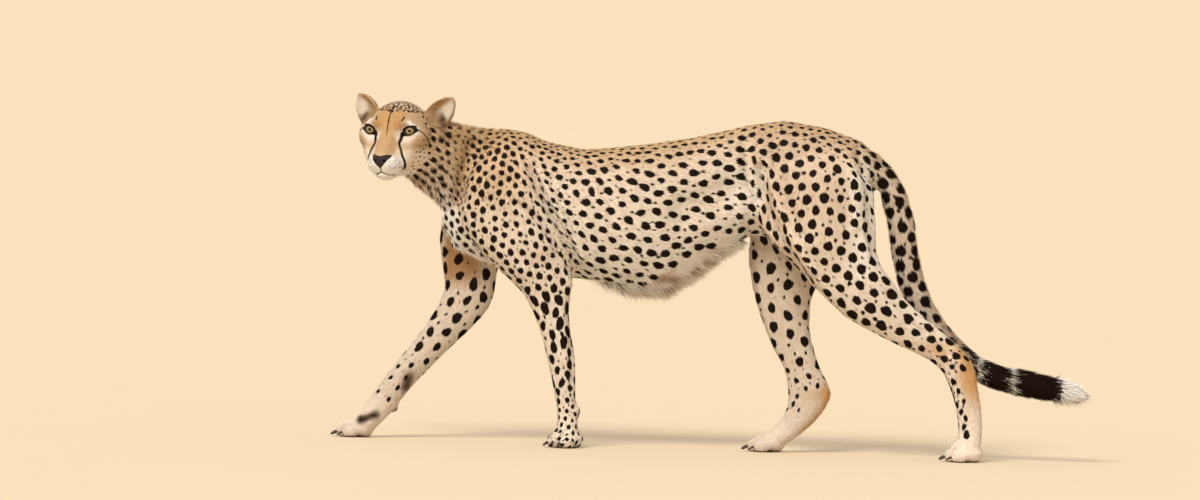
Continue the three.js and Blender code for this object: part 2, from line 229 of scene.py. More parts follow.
skinLook = {
    "grown": 0.6 * mm,  # closes the gaps between the solids
    "longestEdge": 14 * mm,
    "voxel": 8.4 * mm,
    "smoothings": 14,
    "bodySmoothings": 90,
    "trunkSmoothings": 260,
    "neckFillet": 90,
}
fleshNodes = [name for name in nodes if not name.startswith(("eye_", "claw_"))]
paws = [name for name in fleshNodes if name.endswith("_paw")]

# Parts that are blown up while the skin is made, so that one voxel size serves for all of it:
# the middle, how far it reaches, and how many times larger.
lenses = [(fromHead((0, -40, -8)), 0.15, 2.5)] + [(middleOf(name), 0.052, 1.8) for name in paws]


def blowUp(points, centre, reach, times):
    arm = points - centre
    length = np.linalg.norm(arm, axis=1, keepdims=True)
    longer = np.where(length < reach, times * length, length + (times - 1) * reach)
    return centre + arm * longer / np.maximum(length, 1e-9)


def bringBack(points, centre, reach, times):
    arm = points - centre
    length = np.linalg.norm(arm, axis=1, keepdims=True)
    shorter = np.where(length < times * reach, length / times, length - (times - 1) * reach)
    return centre + arm * shorter / np.maximum(length, 1e-9)


def settleLenses():  # a lens moves with the ones that are used before it
    settled = []
    for centre, reach, times in lenses:
        for before in settled:
            centre = blowUp(centre[None], *before)[0]
        settled.append((centre, reach, times))
    return settled


def joinedFlesh():
    bm = bmesh.new()
    for name in fleshNodes + ["eye_left", "eye_right"]:
        bm.from_mesh(nodes[name].data)
    bmesh.ops.remove_doubles(bm, verts=bm.verts, dist=1e-6)
    bm.normal_update()
    for vertex in bm.verts:
        vertex.co += vertex.normal * skinLook["grown"]
    for _ in range(4):
        longEdges = [edge for edge in bm.edges if edge.calc_length() > skinLook["longestEdge"]]
        bmesh.ops.subdivide_edges(bm, edges=longEdges, cuts=1)
    return meshFrom(bm, "flesh")


class Net:  # a mesh's edges, to average what its vertices hold over their neighbours
    def __init__(self, mesh):
        edges = readAll(mesh.edges, "vertices", 2, np.int32)
        self.starts, self.ends = edges.T
        self.count = len(mesh.vertices)
        self.degree = np.bincount(edges.ravel(), minlength=self.count).clip(1)

    def average(self, values):
        columns = values.reshape(self.count, -1)
        out = np.empty_like(columns)
        for k in range(columns.shape[1]):
            column = columns[:, k]
            out[:, k] = np.bincount(self.starts, column[self.ends], self.count)
            out[:, k] += np.bincount(self.ends, column[self.starts], self.count)
            out[:, k] /= self.degree
        return out.reshape(values.shape)

    def spread(self, values, times):
        for _ in range(times):
            values = (values + self.average(values)) / 2
        return values

    def smooth(self, co, times, weight=1.0):  # evens a surface out without shrinking it
        for _ in range(times):
            co = co + 0.5 * weight * (self.average(co) - co)
            co = co - 0.52 * weight * (self.average(co) - co)
        return co


def growSkin():
    mesh = joinedFlesh()
    settled = settleLenses()
    co = coordinates(mesh)
    for lens in settled:
        co = blowUp(co, *lens)
    setCoordinates(mesh, co)
    blown = addObject("blown", mesh)
    remesh = blown.modifiers.new("Remesh", "REMESH")
    remesh.mode = "VOXEL"
    remesh.voxel_size = skinLook["voxel"]
    depsgraph = bpy.context.evaluated_depsgraph_get()
    skin = bpy.data.meshes.new_from_object(blown.evaluated_get(depsgraph))
    bpy.data.objects.remove(blown)
    co = Net(skin).smooth(coordinates(skin), skinLook["smoothings"])
    for lens in reversed(settled):
        co = bringBack(co, *lens)
    setCoordinates(skin, co)
    return skin


def refine(mesh, near, times):  # halves the faces whose every corner near() picks
    bm = bmesh.new()
    bm.from_mesh(mesh)
    for _ in range(times):
        bm.verts.ensure_lookup_table()
        picked = near(np.array([v.co for v in bm.verts]))
        edges = [e for e in bm.edges if picked[e.verts[0].index] and picked[e.verts[1].index]]
        bmesh.ops.subdivide_edges(bm, edges=edges, cuts=1, use_grid_fill=True)
        bm.verts.index_update()
    bm.to_mesh(mesh)
    bm.free()


def needsDetail(points):  # round the eyes, the nose, the mouth and the toes
    u, v, w = folded(toHead(points))
    eye = np.hypot(u - 44, w - 0) < 25
    nose = (u < 26) & (w < -44) & (w > -104)
    mouth = (u < 44) & (w < -84) & (w > -104)
    fine = (eye | nose | mouth) & (v > -12)
    for leg in feet:
        ahead, aside, up = toPaw(points, leg)
        fine |= (ahead > 8) & (ahead < 64) & (np.abs(aside) < 45) & (up < 40)
    return fine


skinMesh = growSkin()
refine(skinMesh, needsDetail, 1)
net = Net(skinMesh)
print("skin grown:", len(skinMesh.vertices), "vertices")


# ---------- which node each vertex belongs to, and what coat grows there

def nodeOfEach(points):
    corners, faces, owners = [], [], []
    for number, name in enumerate(fleshNodes):
        mesh = nodes[name].data
        first = len(corners)
        corners += [v.co.copy() for v in mesh.vertices]
        faces += [[first + i for i in p.vertices] for p in mesh.polygons]
        owners += [number] * len(mesh.polygons)
    tree = BVHTree.FromPolygons(corners, faces)
    owners = np.array(owners)
    return owners[[tree.find_nearest(point)[2] for point in points]]


skinCo = coordinates(skinMesh)
owner = nodeOfEach(skinCo)


def isOn(*starts):  # the vertices that belong to nodes whose names start so
    wanted = [i for i, name in enumerate(fleshNodes) if name.startswith(starts)]
    return np.isin(owner, wanted)


# Lengths in millimetres: how far the skin lies under the tips, a hair's length and width, and
# how far it stands up, in degrees. Between parts the values run into each other.
hairOf = {
    "chest": dict(deep=3.0, long=9, wide=1.7, lift=14),
    "belly": dict(deep=3.0, long=10, wide=1.7, lift=14),
    "rump": dict(deep=3.0, long=9, wide=1.7, lift=14),
    "neck": dict(deep=3.5, long=8.5, wide=1.4, lift=18),
    "head": dict(deep=2.0, long=5.2, wide=0.8, lift=15),
    "ear": dict(deep=0.9, long=6, wide=0.9, lift=14),
    "tail": dict(deep=4.0, long=15, wide=2.0, lift=24),
    "tail_4": dict(deep=7, long=24, wide=2.2, lift=22),
    "foreleg": dict(deep=2.6, long=8, wide=1.6, lift=12),
    "hindleg": dict(deep=2.6, long=8, wide=1.6, lift=12),
}
pawHair = dict(deep=2.0, long=5.5, wide=1.3, lift=13)

# Spots: how far apart they are, their radius, how much longer than wide, in millimetres.
spotsOf = {
    "chest": dict(apart=20.5, radius=7.8, stretch=1.06),
    "belly": dict(apart=27.5, radius=9.3, stretch=1.26),
    "rump": dict(apart=25.5, radius=9.5, stretch=1.05),
    "neck": dict(apart=19, radius=7.5, stretch=1.12),
    "head": dict(apart=9.2, radius=3.7, stretch=1.15),
    "ear": dict(apart=60, radius=1, stretch=1),
    "tail": dict(apart=28, radius=13.2, stretch=1.05),
    "foreleg": dict(apart=27, radius=10.4, stretch=1.35),
    "foreleg_right": dict(apart=34, radius=10.8, stretch=1.3),
    "foreleg_left_paw": dict(apart=20, radius=6.6, stretch=1.2),
    "foreleg_left_upper": dict(apart=20.5, radius=7.6, stretch=1.1),
    "hindleg": dict(apart=31, radius=11.6, stretch=1.15),
    "hindleg_left_thigh": dict(apart=28.5, radius=10.7, stretch=1.08),
    "hindleg_right": dict(apart=37, radius=11.6, stretch=1.2),
    "hindleg_left_metatarsus": dict(apart=17, radius=6.8, stretch=1.3),
    "hindleg_right_metatarsus": dict(apart=16, radius=5.0, stretch=1.3),
}


def fieldOf(tables, key, spreads):
    values = np.zeros(len(skinCo))
    for start in sorted(tables, key=len):
        values[isOn(start)] = tables[start][key]
    if tables is hairOf:
        values[isOn(*paws)] = pawHair[key]
    return net.spread(values, spreads)


def evenOut():  # takes the flat faces of the solids out of the larger parts
    small = isOn("head", "ear", *paws)
    weight = net.spread(np.where(small, 0.0, 1.0), 8)[:, None]
    co = net.smooth(skinCo, skinLook["bodySmoothings"], weight)
    trunk = isOn("chest", "belly", "rump", "neck")
    weight = net.spread(np.where(trunk, 1.0, 0.0), 12)[:, None]
    co = net.smooth(co, skinLook["trunkSmoothings"], weight)
    return filletNeck(co)


def filletNeck(co):  # the head and ears run into the neck without a crease
    headShare = net.spread(isOn("head").astype(float), 40)
    seam = (4 * headShare * (1 - headShare)) ** 0.5 * (toHead(co)[:, 1] < -45)
    weight = net.spread(seam, 6).clip(0, 1)[:, None]
    for _ in range(skinLook["neckFillet"]):
        co = co + 0.5 * weight * (net.average(co) - co)
    return co


skinCo = evenOut()
setCoordinates(skinMesh, skinCo)
hair = {key: fieldOf(hairOf, key, 30) for key in ("deep", "long", "wide", "lift")}
spotty = {key: fieldOf(spotsOf, key, 24) for key in ("apart", "radius", "stretch")}


# Where spots close up down the legs: between which heights, and by how much their distance and
# their size shrink.
crowded = {
    "foreleg_left": ((230, 150), 0.26, 0.26),
    "foreleg_right": ((240, 150), 0.28, 0.48),
    "hindleg_right_shank": ((250, 170), 0.36, 0.46),
    "hindleg_left_shank": ((300, 220), 0.34, 0.36),
}


def crowdSpots():  # closer and smaller along the back, before the shoulder and low on the legs
    up = normalsOf(skinMesh)[:, 2]
    x, _, z = skinCo.T
    shrink = 0.34 * isOn("chest", "belly", "rump") * ease(0.35, 0.85, up)
    shrink = shrink + 0.25 * isOn("chest") * ease(-0.51, -0.57, x) * ease(0.50, 0.60, z)
    shrinks = np.stack([shrink, shrink], 1)
    for start, ((high, low), closer, smaller) in crowded.items():
        down = isOn(start) * ease(high * mm, low * mm, z)
        shrinks += down[:, None] * (closer, smaller)
    factors = net.spread(1 - shrinks.clip(0, 0.55), 16)
    spotty["apart"] *= factors[:, 0]
    spotty["radius"] *= factors[:, 1]
    u, v, w = folded(toHead(skinCo))
    cheek = net.spread(isOn("head") * ease(10, -6, w) * (u > 30), 6)
    spotty["apart"] += 0.6 * cheek
    spotty["radius"] -= 1.15 * cheek  # then larger blotches where the cheek becomes the neck
    ruff = net.spread(isOn("head") * ease(-46, -74, v) * ease(6, -30, w) * (u > 20), 6)
    spotty["apart"] += (15 - spotty["apart"]) * ruff
    spotty["radius"] += (4.3 - spotty["radius"]) * ruff


crowdSpots()

# Creases that several things follow: x and z of each, in millimetres.
creaseRoutes = {
    "thigh": [(98, 660), (120, 560), (160, 480), (215, 410)],
    "triceps": [(-425, 640), (-400, 585), (-360, 515), (-322, 445), (-306, 400)],
    "neck": [(-578, 700), (-590, 640), (-588, 560)],  # before the shoulder
    "flank": [(75, 610), (110, 560), (150, 500)],  # the loose skin before the thigh
}

# Folds of the skin, along which the spots are small and long: x and z of each, how far they reach and
# how much longer, closer and smaller they make the spots.
folds = [
    (creaseRoutes["thigh"], 46, (0.45, 0.18, 0.28)),
    (creaseRoutes["triceps"], 44, (0.4, 0.18, 0.28)),
    (creaseRoutes["neck"], 34, (0.1, 0.36, 0.36)),
    ([(262, 722), (325, 672), (355, 620), (368, 570)], 36, (0.35, 0.2, 0.3)),
]


def foldSpots():
    rows = np.zeros((len(skinCo), 3))
    for route, reach, (longer, closer, smaller) in folds:
        away, _, way = nearRoute(skinCo[:, [0, 2]], np.array(route) * mm)
        close = ~isOn("head", "ear", "tail") * ease(reach, reach * 0.3, away / mm)
        spotty["apart"] *= 1 - closer * close
        spotty["radius"] *= 1 - smaller * close
        spotty["stretch"] *= 1 + longer * close
        rows += close[:, None] * np.stack([way[:, 0], 0 * away, way[:, 1]], 1)
    return rows


rowsOfSpots = foldSpots()


def lieOfEach():  # the way that the hair runs, along the skin
    lie = np.zeros((len(skinCo), 3))
    for start in ("chest", "belly", "rump", "neck", "tail", *feet):
        on = isOn(start)
        lie[on] = nearRoute(skinCo[on], bones.get(start, bones["spine"]))[2]
    trunk = isOn("chest", "belly", "rump", "neck")
    lie[trunk] += (0, 0, -0.35)  # down as well as back
    onHead = isOn("head")
    away = toHead(skinCo[onHead]) - (0, 56, -60)  # from the tip of the nose
    lie[onHead] = unit(away) @ headAxes
    for side, sign in sides.items():
        on = isOn("ear_" + side)
        lie[on] = unit(toHead(skinCo[on]) - (sign * 62, -95, 12)) @ headAxes
    return net.spread(lie, 40)


lie = lieOfEach()
print("coat laid out")


# ---------- sculpting: muscles, folds and bones under the skin

# Strokes on the side of the animal: which side (-1 left, 1 right, 0 both), the route as x and z,
# how far it reaches, and how high it stands or, below 0, how deep it is cut. Millimetres.
muscles = [
    (0, [(-470, 720), (-500, 640), (-545, 560)], 38, 8),  # shoulder blade
    (0, [(-455, 735), (-430, 690)], 22, 4),  # its top
    (0, [(-560, 690), (-585, 620), (-590, 560)], 24, -7),  # between neck and shoulder
    (-1, [(-450, 560), (-400, 470)], 62, 10),  # triceps
    (-1, creaseRoutes["triceps"], 14, -8),  # behind the triceps
    (-1, [(-402, 632), (-378, 575), (-338, 508), (-302, 440)], 13, 5),  # folds behind it
    (-1, [(-380, 610), (-352, 556), (-314, 492)], 9, -4),
    (-1, [(-362, 606), (-334, 550), (-298, 488)], 10, 3),
    (-1, [(-458, 560), (-398, 518), (-352, 448)], 12, -5),
    (-1, [(-535, 530), (-500, 450), (-440, 400)], 26, 6),  # front of the upper arm
    (-1, [(-322, 398), (-322, 372)], 18, 6),  # elbow
    (-1, [(-345, 330), (-330, 200)], 13, 4),  # forearm
    (-1, [(-318, 330), (-312, 150)], 8, -3),
    (1, [(-540, 560), (-520, 450)], 45, 7),
    (1, [(-508, 380), (-512, 350)], 18, 5),
    (1, [(-560, 330), (-640, 230)], 15, 4),
    (0, [(95, 745), (110, 690)], 26, 6),  # point of the hip
    (0, [(62, 715), (74, 640), (95, 590)], 20, -8),  # hollow before the thigh
    (-1, creaseRoutes["thigh"], 13, -7),  # folds of the thigh's front
    (-1, [(120, 668), (142, 575), (180, 500), (232, 425)], 13, 5),
    (-1, [(75, 600), (112, 530), (165, 455)], 12, 4),
    (-1, [(152, 640), (172, 570), (204, 505)], 10, -3.5),
    (-1, [(250, 620), (240, 500)], 80, 12),  # thigh
    (-1, [(325, 715), (352, 620), (356, 530), (372, 470)], 14, -7),  # between the hams
    (-1, [(296, 700), (322, 620), (322, 530)], 16, 4),
    (-1, [(215, 430), (232, 400)], 30, 5),  # knee
    (-1, [(350, 410), (430, 330)], 30, 6),  # calf
    (-1, [(400, 385), (470, 310), (548, 245)], 9, -5),  # before the heel tendon
    (-1, [(560, 255), (585, 222)], 14, 4),  # heel
    (1, [(185, 620), (180, 480)], 70, 9),
    (1, [(150, 400), (170, 350)], 26, 4),
    (1, [(205, 330), (232, 220), (240, 170)], 9, -4),
    (0, [(-250, 640), (-100, 600)], 90, 5),  # ribs
    (0, [(-60, 560), (30, 600)], 60, -8),  # hollow of the flank
    (0, [(-290, 640), (-262, 560), (-252, 500)], 12, 2),  # a few ribs that show
    (0, [(-250, 650), (-222, 570), (-208, 510)], 12, 2),
    (0, [(-210, 655), (-182, 580), (-166, 520)], 12, 2),
    (0, [(-170, 655), (-142, 585), (-124, 530)], 12, 1.6),
]


muscleLook = {
    "narrow": 1.8,  # times the height that a stroke is given
    "broad": 0.9,  # less, because these swell beyond the solids
    "narrowBelow": 20,  # a stroke that reaches less far is narrow
    "offMiddle": 0.012,  # how far from the trunk's middle a one-sided stroke starts, in metres
}
creaseShadingStrokes = []  # the narrow strokes, whose hollows get painted shade and whose ridges a painted highlight


def bendSkin(co):
    normals = normalsOf(skinMesh)
    shift = np.zeros(len(co))
    body = ~isOn("head", "ear", "tail")
    for side, route, reach, height in muscles:
        away = nearRoute(co[:, [0, 2]], np.array(route) * mm)[0] / (reach * mm)
        on = body & (away < 1)
        if side:
            on &= (co[:, 1] - bodyMiddle) * side > muscleLook["offMiddle"]
            on &= ~isOn("foreleg_right" if side < 0 else "foreleg_left")
            on &= ~isOn("hindleg_right" if side < 0 else "hindleg_left")
            on &= normals[:, 1] * side > 0
        narrow = reach < muscleLook["narrowBelow"]
        times = muscleLook["narrow" if narrow or height < 0 else "broad"]
        bulge = times * height * mm * (1 - away**2).clip(0) ** 2 * np.abs(normals[:, 1])
        shift += np.where(on, bulge, 0)
        if narrow:
            creaseShadingStrokes.append(np.where(on, height * (1 - away**2).clip(0), 0))
    return co + normals * net.spread(shift, 3)[:, None]


# A dent or a lump on the head, alike on both sides: its middle, how far it reaches along u, v and
# w, and how high it is. Millimetres.
headLumps = [
    ((0, 30, 30), (7, 40, 60), -1.6),  # furrow of the brow
    ((20, 4, 24), (14, 20, 14), 2.2),  # brow
    ((46, -4, 21), (20, 16, 8), 2.4),  # ridge over the eye
    ((22, 12, -12), (9, 16, 14), -2.5),  # inner corner of the eye
    ((62, -30, -26), (24, 24, 14), 3.0),  # cheekbone
    ((26, 14, -62), (10, 16, 22), -1.8),  # between nose and whisker pad
    ((20, 34, -80), (16, 16, 13), 2.6),  # whisker pad
    ((0, 34, -104), (14, 14, 7), 1.2),  # chin
    ((34, 10, -98), (14, 16, 7), -2.0),  # under the lip
    ((0, 48, -57), (20, 12, 6), 1.2),  # top of the nose leather
    ((10.5, 58, -68.5), (5.0, 12, 4.2), -6.0),  # nostril
    ((16, 54, -71), (5.5, 12, 2.6), -3.4),  # its slit
]


mouthLook = {"deep": 3.0, "wide": 3.6, "front": -8}  # how far back on the head it reaches, as v
cleftLook = {"deep": 2.6, "wide": 2.2, "middle": -89, "half": 5, "blend": 2, "front": 20}


def bendHead(co):
    normals = normalsOf(skinMesh)
    u, v, w = folded(toHead(co))
    onHead = isOn("head")
    shift = np.zeros(len(co))
    for (cu, cv, cw), (ru, rv, rw), height in headLumps:
        away = np.sqrt(((u - cu) / ru) ** 2 + ((v - cv) / rv) ** 2 + ((w - cw) / rw) ** 2)
        shift += height * mm * (1 - away**2).clip(0) ** 2 * onHead
    beyond = np.maximum(np.abs(w - cleftLook["middle"]) - cleftLook["half"], 0)
    cleft = np.hypot(u / cleftLook["wide"], beyond / cleftLook["blend"])  # from nose to mouth
    shift -= cleftLook["deep"] * mm * (1 - cleft**2).clip(0) * (v > cleftLook["front"]) * onHead
    lips = (1 - (lipGap(u, w) / mouthLook["wide"]) ** 2).clip(0)
    shift -= mouthLook["deep"] * mm * lips * (v > mouthLook["front"]) * onHead
    return co + normals * shift[:, None]


# The line of the mouth, u and w.
mouth = [(0, -94), (8, -98), (17, -100.5), (26, -99.5), (34, -97), (41, -92), (47, -87)]


def lipGap(u, w):  # from the line of the mouth
    return nearRoute(np.stack([u, w], 1), mouth)[0]


noseLeather = {
    "w": [-98, -86, -83, -78, -72, -66, -60, -56, -54.5, -53.5],
    "half": [1.1, 1.3, 3.2, 8.5, 13.5, 18.0, 22.0, 23.5, 22.0, 15.0],
    "dip": -3.6,
}


def noseInside(u, v, w):  # how far inside the edge of the black nose, millimetres
    inside = np.interp(w, noseLeather["w"], noseLeather["half"]) - u
    inside = np.minimum(inside, noseLeather["dip"] + 0.22 * u - (w - noseLeather["w"][-1]))
    return np.where((v > 24) & (w > -95), inside, -20)


# ---------- eyes and lids

lids = {  # the opening's outline lies on the ball, in millimetres from its middle
    "turnedOut": 7,  # degrees
    "turnedDown": 2,
    "slant": 15,  # how much higher the outer corner is
    "across": [-16.0, -12.5, -7, 0, 6, 11.5, 16.5],  # from the inner corner to the outer
    "upper": [-1.5, 2.6, 5.4, 6.6, 6.2, 3.8, 0],
    "lower": [-1.5, -4.6, -7.2, -8.0, -7.0, -4.4, 0],
    "thick": 1.3,
    "upperThick": 2.4,
    "blend": 12,
    "reach": 22,  # how far off the ball they move the skin
    "sunk": 3.2,  # how far under the ball's surface the skin lies in the opening
}


def eyeFrame(side, slant=0.0):  # the way the eye looks, across to its outer corner, and up
    sign = sides[side]
    out, down = math.radians(lids["turnedOut"]), math.radians(lids["turnedDown"])
    look = np.array([sign * math.sin(out), math.cos(out) * math.cos(down), -math.sin(down)])
    across = unit(np.cross((0, 0, -sign), look))
    above = np.cross(across, look) * sign
    tilt = math.radians(slant)
    across, above = (across * math.cos(tilt) + above * math.sin(tilt),
                     above * math.cos(tilt) - across * math.sin(tilt))
    return np.array([look, across, above]) @ headAxes


# How far each point is inside the opening of the lids, how far from the eye's middle, and where
# it is across and up the ball, all in millimetres. Points behind the eye are far outside.
def lidPlaces(points, side):
    look, across, above = eyeFrame(side, lids["slant"])
    arm = (points - eyeCentres[side]) / mm
    far = np.linalg.norm(arm, axis=1)
    radius = eyes["radius"] / mm
    x = radius * np.arctan2(arm @ across, arm @ look)
    y = radius * np.arcsin(np.clip(arm @ above / np.maximum(far, 1e-6), -1, 1))
    top = np.interp(x, lids["across"], lids["upper"])
    bottom = np.interp(x, lids["across"], lids["lower"])
    first, last = lids["across"][0], lids["across"][-1]
    beyond = np.maximum(first - x, x - last)
    inside = 0.85 * np.minimum(top - y, y - bottom)
    inside = np.where(beyond > 0, -np.hypot(beyond, 0.85 * (y - (top + bottom) / 2)), inside)
    inside = np.where(np.abs(x) > 1.4 * radius, -40, inside)
    return inside, far, x, y


def openLids(co):
    radius = eyes["radius"] / mm
    for side in eyeCentres:
        inside, far, _, height = lidPlaces(co, side)
        near = (far < radius + lids["reach"]) & isOn("head")
        thick = lids["thick"] + (lids["upperThick"] - lids["thick"]) * ease(0, 6, height)
        t = ease(0, lids["blend"], -inside)
        lid = (radius + thick) * (1 - t) + far * t
        lid = np.maximum(lid, radius + thick * 0.8)
        wanted = np.where(inside > 0, radius - lids["sunk"], lid)
        scale = np.where(near, wanted / np.maximum(far, 1e-6), 1)
        co = eyeCentres[side] + (co - eyeCentres[side]) * scale[:, None]
    return co


# streak is half the width of the painted shade between the toes, in millimetres
pawLook = {"gap": 6.5, "gapWide": 6.0, "knuckle": 3.2, "streak": 1.5}


def bendPaws(co):  # toes, with gaps between them and a knuckle on each
    normals = normalsOf(skinMesh)
    shift = np.zeros(len(co))
    for leg in feet:
        ahead, aside, up = toPaw(co, leg)
        on = isOn(leg + "_paw") & (up < 45)
        gap = np.abs(aside[:, None] - toes["gaps"]).min(1)
        toe = np.abs(aside[:, None] - toes["middles"]).min(1)
        along = ease(10, 26, ahead)
        shift -= on * pawLook["gap"] * along * (1 - (gap / pawLook["gapWide"]) ** 2).clip(0)
        knuckle = np.exp(-((ahead - 30) / 8) ** 2 - (toe / 6) ** 2) * ease(10, 20, up)
        shift += on * pawLook["knuckle"] * knuckle
    return co + normals * (shift * mm)[:, None]


def sinkUnderCoat(co):  # less on the nose and the lips, which are bare
    u, v, w = folded(toHead(co))
    lips = ease(3, 0.5, lipGap(u, w)) * (v > mouthLook["front"])
    bareness = np.maximum(ease(-1.5, 0.5, noseInside(u, v, w)), lips)
    deep = hair["deep"] * (1 - 0.8 * bareness * isOn("head"))
    return co - normalsOf(skinMesh) * (deep * mm)[:, None]


def liftOffFloor(co):
    co[:, 2] = np.maximum(co[:, 2], 0.5 * mm)
    return co


for step in (bendSkin, sinkUnderCoat, bendHead, bendPaws, openLids, liftOffFloor):
    skinCo = step(skinCo)
    setCoordinates(skinMesh, skinCo)
skinNormals = normalsOf(skinMesh)
lie = unit(lie - skinNormals * dots(lie, skinNormals)[:, None])
headPlaces = toHead(skinCo)
print("skin sculpted")


# ---------- markings

def samplesOn(triangles, co, weight, count):  # even random places, as rows of triangles and shares
    area = areasOf(triangles, co) * weight[triangles].mean(1)
    heap = np.cumsum(area) / area.sum() * count
    rows = np.searchsorted(heap, np.arange(count) + rng.random(count))
    rows = rows.clip(0, len(triangles) - 1)
    r, s = rng.random((2, count))
    root = np.sqrt(r)
    return rows, np.stack([1 - root, root * (1 - s), root * s], 1)


def mixed(values, corners, shares):
    if values.ndim == 1:
        return (values[corners] * shares).sum(1)
    return (values[corners] * shares[:, :, None]).sum(1)


def spottedness():  # 1 where spots grow
    u, v, w = folded(headPlaces)
    x, _, z = skinCo.T
    back = skinNormals[:, 0]
    share = np.ones(len(skinCo))
    crown = ease(43, 50, w) * ease(14, -4, v)
    cheek = ease(-18, -30, v) * ease(44, 54, u) * ease(-10, -24, w)
    temple = ease(-48, -60, v) * ease(24, 10, w)
    poll = ease(-58, -70, v) * ease(62, 52, u)
    share = np.where(isOn("head"), np.max([crown, cheek, temple, poll], 0), share)
    share[isOn("ear", "tail_4", "foreleg_right_paw", "hindleg_left_paw", "hindleg_right_paw")] = 0
    behind = isOn("hindleg_left_metatarsus", "hindleg_right_metatarsus") * ease(-0.4, -0.1, back)
    lowEnd = np.where(isOn("hindleg_right_metatarsus"), ease(0.095, 0.115, z), 1)
    share = share * (1 - behind) * lowEnd
    share = share * np.where(isOn("hindleg_left_shank"), ease(0.75, 0.45, back), 1)
    bellyEdge = np.interp(x, bellyLine[0], bellyLine[1])
    under = isOn("belly") & (z < bellyEdge) | (isOn("chest") & (skinNormals[:, 2] < -0.8))
    return np.where(under, 0, share)


# Below this line the belly's hair has no spots: x, then z.
bellyLine = np.array([(-300, -169, -51, 11, 39, 90), (360, 378, 452, 490, 512, 520)]) * mm
farOutside = -30.0  # what a marking's depth is where there is none, in millimetres

# Large spots come first and are pushed apart, then small ones go between them, then faint flecks.
spotPlan = {
    "tries": 90000,
    "largeRoom": 0.96,  # the share of its distance that each sort keeps clear
    "room": 0.645,
    "faint": 0.46,
    "smallSkip": 3,  # only one place in so many is tried
    "faintSkip": 9,
    "pushes": 14,
    "neighbours": 7,
    "reach": 1.22,
    "push": 0.22,
    "small": 0.38,
    "faintRadius": 2.4,
    "turn": 0.22,
    "alongRows": 2.5,  # how much more a fold turns them than the hair does
}


def sieved(places, need, before, beforeNeed, room, skip=1):  # leaves out what comes too near another
    kept = []
    table = np.zeros((len(places) + len(before), 3))
    needs = np.zeros(len(table))
    table[:len(before)], needs[:len(before)] = before, beforeNeed
    count = len(before)
    for i in range(0, len(places), skip):
        gap = table[:count] - places[i]
        least = (needs[:count] + need[i]) * (room / 2)
        if count and ((gap * gap).sum(1) < least * least).any():
            continue
        table[count], needs[count] = places[i], need[i]
        kept.append(i)
        count += 1
    return np.array(kept)


def treeOf(points):
    tree = KDTree(len(points))
    for i, point in enumerate(points):
        tree.insert(point, i)
    tree.balance()
    return tree


def pushedApart(places, allowed):  # evens out the gaps between spots
    surface = BVHTree.FromPolygons(skinCo.tolist(), trianglesOf(skinMesh).tolist())
    corners = treeOf(skinCo)
    for _ in range(spotPlan["pushes"]):
        apart = spotty["apart"][[corners.find(place)[1] for place in places]] * mm
        tree = treeOf(places)
        moved = places.copy()
        for i, place in enumerate(places):
            reach = apart[i] * spotPlan["reach"]
            for other, _, away in tree.find_n(place, spotPlan["neighbours"])[1:]:
                if away < reach:
                    moved[i] += (place - np.array(other)) / away * (reach - away) * spotPlan["push"]
        moved = np.array([surface.find_nearest(place)[0] for place in moved])
        stays = allowed[[corners.find(place)[1] for place in moved]] < 0.5
        places = np.where(stays[:, None], places, moved)
    return places


def scatterSpots():
    triangles = trianglesOf(skinMesh)
    allowed = spottedness()
    weight = allowed / (spotty["apart"] * mm) ** 2 * 1e-3
    rows, shares = samplesOn(triangles, skinCo, weight, spotPlan["tries"])
    order = rng.permutation(len(rows))
    corners, shares = triangles[rows[order]], shares[order]
    places = mixed(skinCo, corners, shares)
    apart = mixed(spotty["apart"], corners, shares) * mm
    large = sieved(places, apart, places[:0], apart[:0], spotPlan["largeRoom"])
    large = np.array(pushedApart(places[large], allowed))
    near = treeOf(skinCo)
    largeNeeds = spotty["apart"][[near.find(place)[1] for place in large]] * mm
    small = sieved(places, apart, large, largeNeeds, spotPlan["room"], spotPlan["smallSkip"])
    solid = np.concatenate([large, places[small]])
    needs = np.concatenate([largeNeeds, apart[small]])
    faint = sieved(places, apart, solid, needs, spotPlan["faint"], spotPlan["faintSkip"])
    found = np.concatenate([solid, places[faint]])
    kind = np.repeat([0, 1, 2], [len(large), len(small), len(faint)])
    at = np.array([near.find(place)[1] for place in found])
    count = len(found)
    radius = spotty["radius"][at]
    size = radius * rng.uniform(0.84, 1.12, count)
    size = np.where(kind == 1, size * spotPlan["small"] * rng.uniform(0.7, 1.2, count), size)
    fleck = spotPlan["faintRadius"] * rng.uniform(0.6, 1.1, count) * ease(3, 6, radius)
    size = np.where(kind == 2, fleck, size)
    outward = skinNormals[at]
    ahead = lie[at] + spotPlan["alongRows"] * rowsOfSpots[at]
    ahead = unit(ahead - outward * dots(ahead, outward)[:, None])
    turn = rng.normal(0, spotPlan["turn"], count)[:, None]
    ahead = unit(ahead * np.cos(turn) + np.cross(outward, ahead) * np.sin(turn))
    return {
        "place": found,
        "ahead": ahead,
        "outward": outward,
        "size": size,
        "faint": kind == 2,
        "stretch": spotty["stretch"][at] * rng.uniform(0.92, 1.12, count),
        "phase": rng.uniform(0, 2 * math.pi, (count, 2)),
    }


spots = scatterSpots()
print("spots:", (~spots["faint"]).sum(), "faint ones:", spots["faint"].sum())


def nearestSpots(points, count=6):
    tree = treeOf(spots["place"])
    return np.array([[found[1] for found in tree.find_n(point, count)] for point in points])


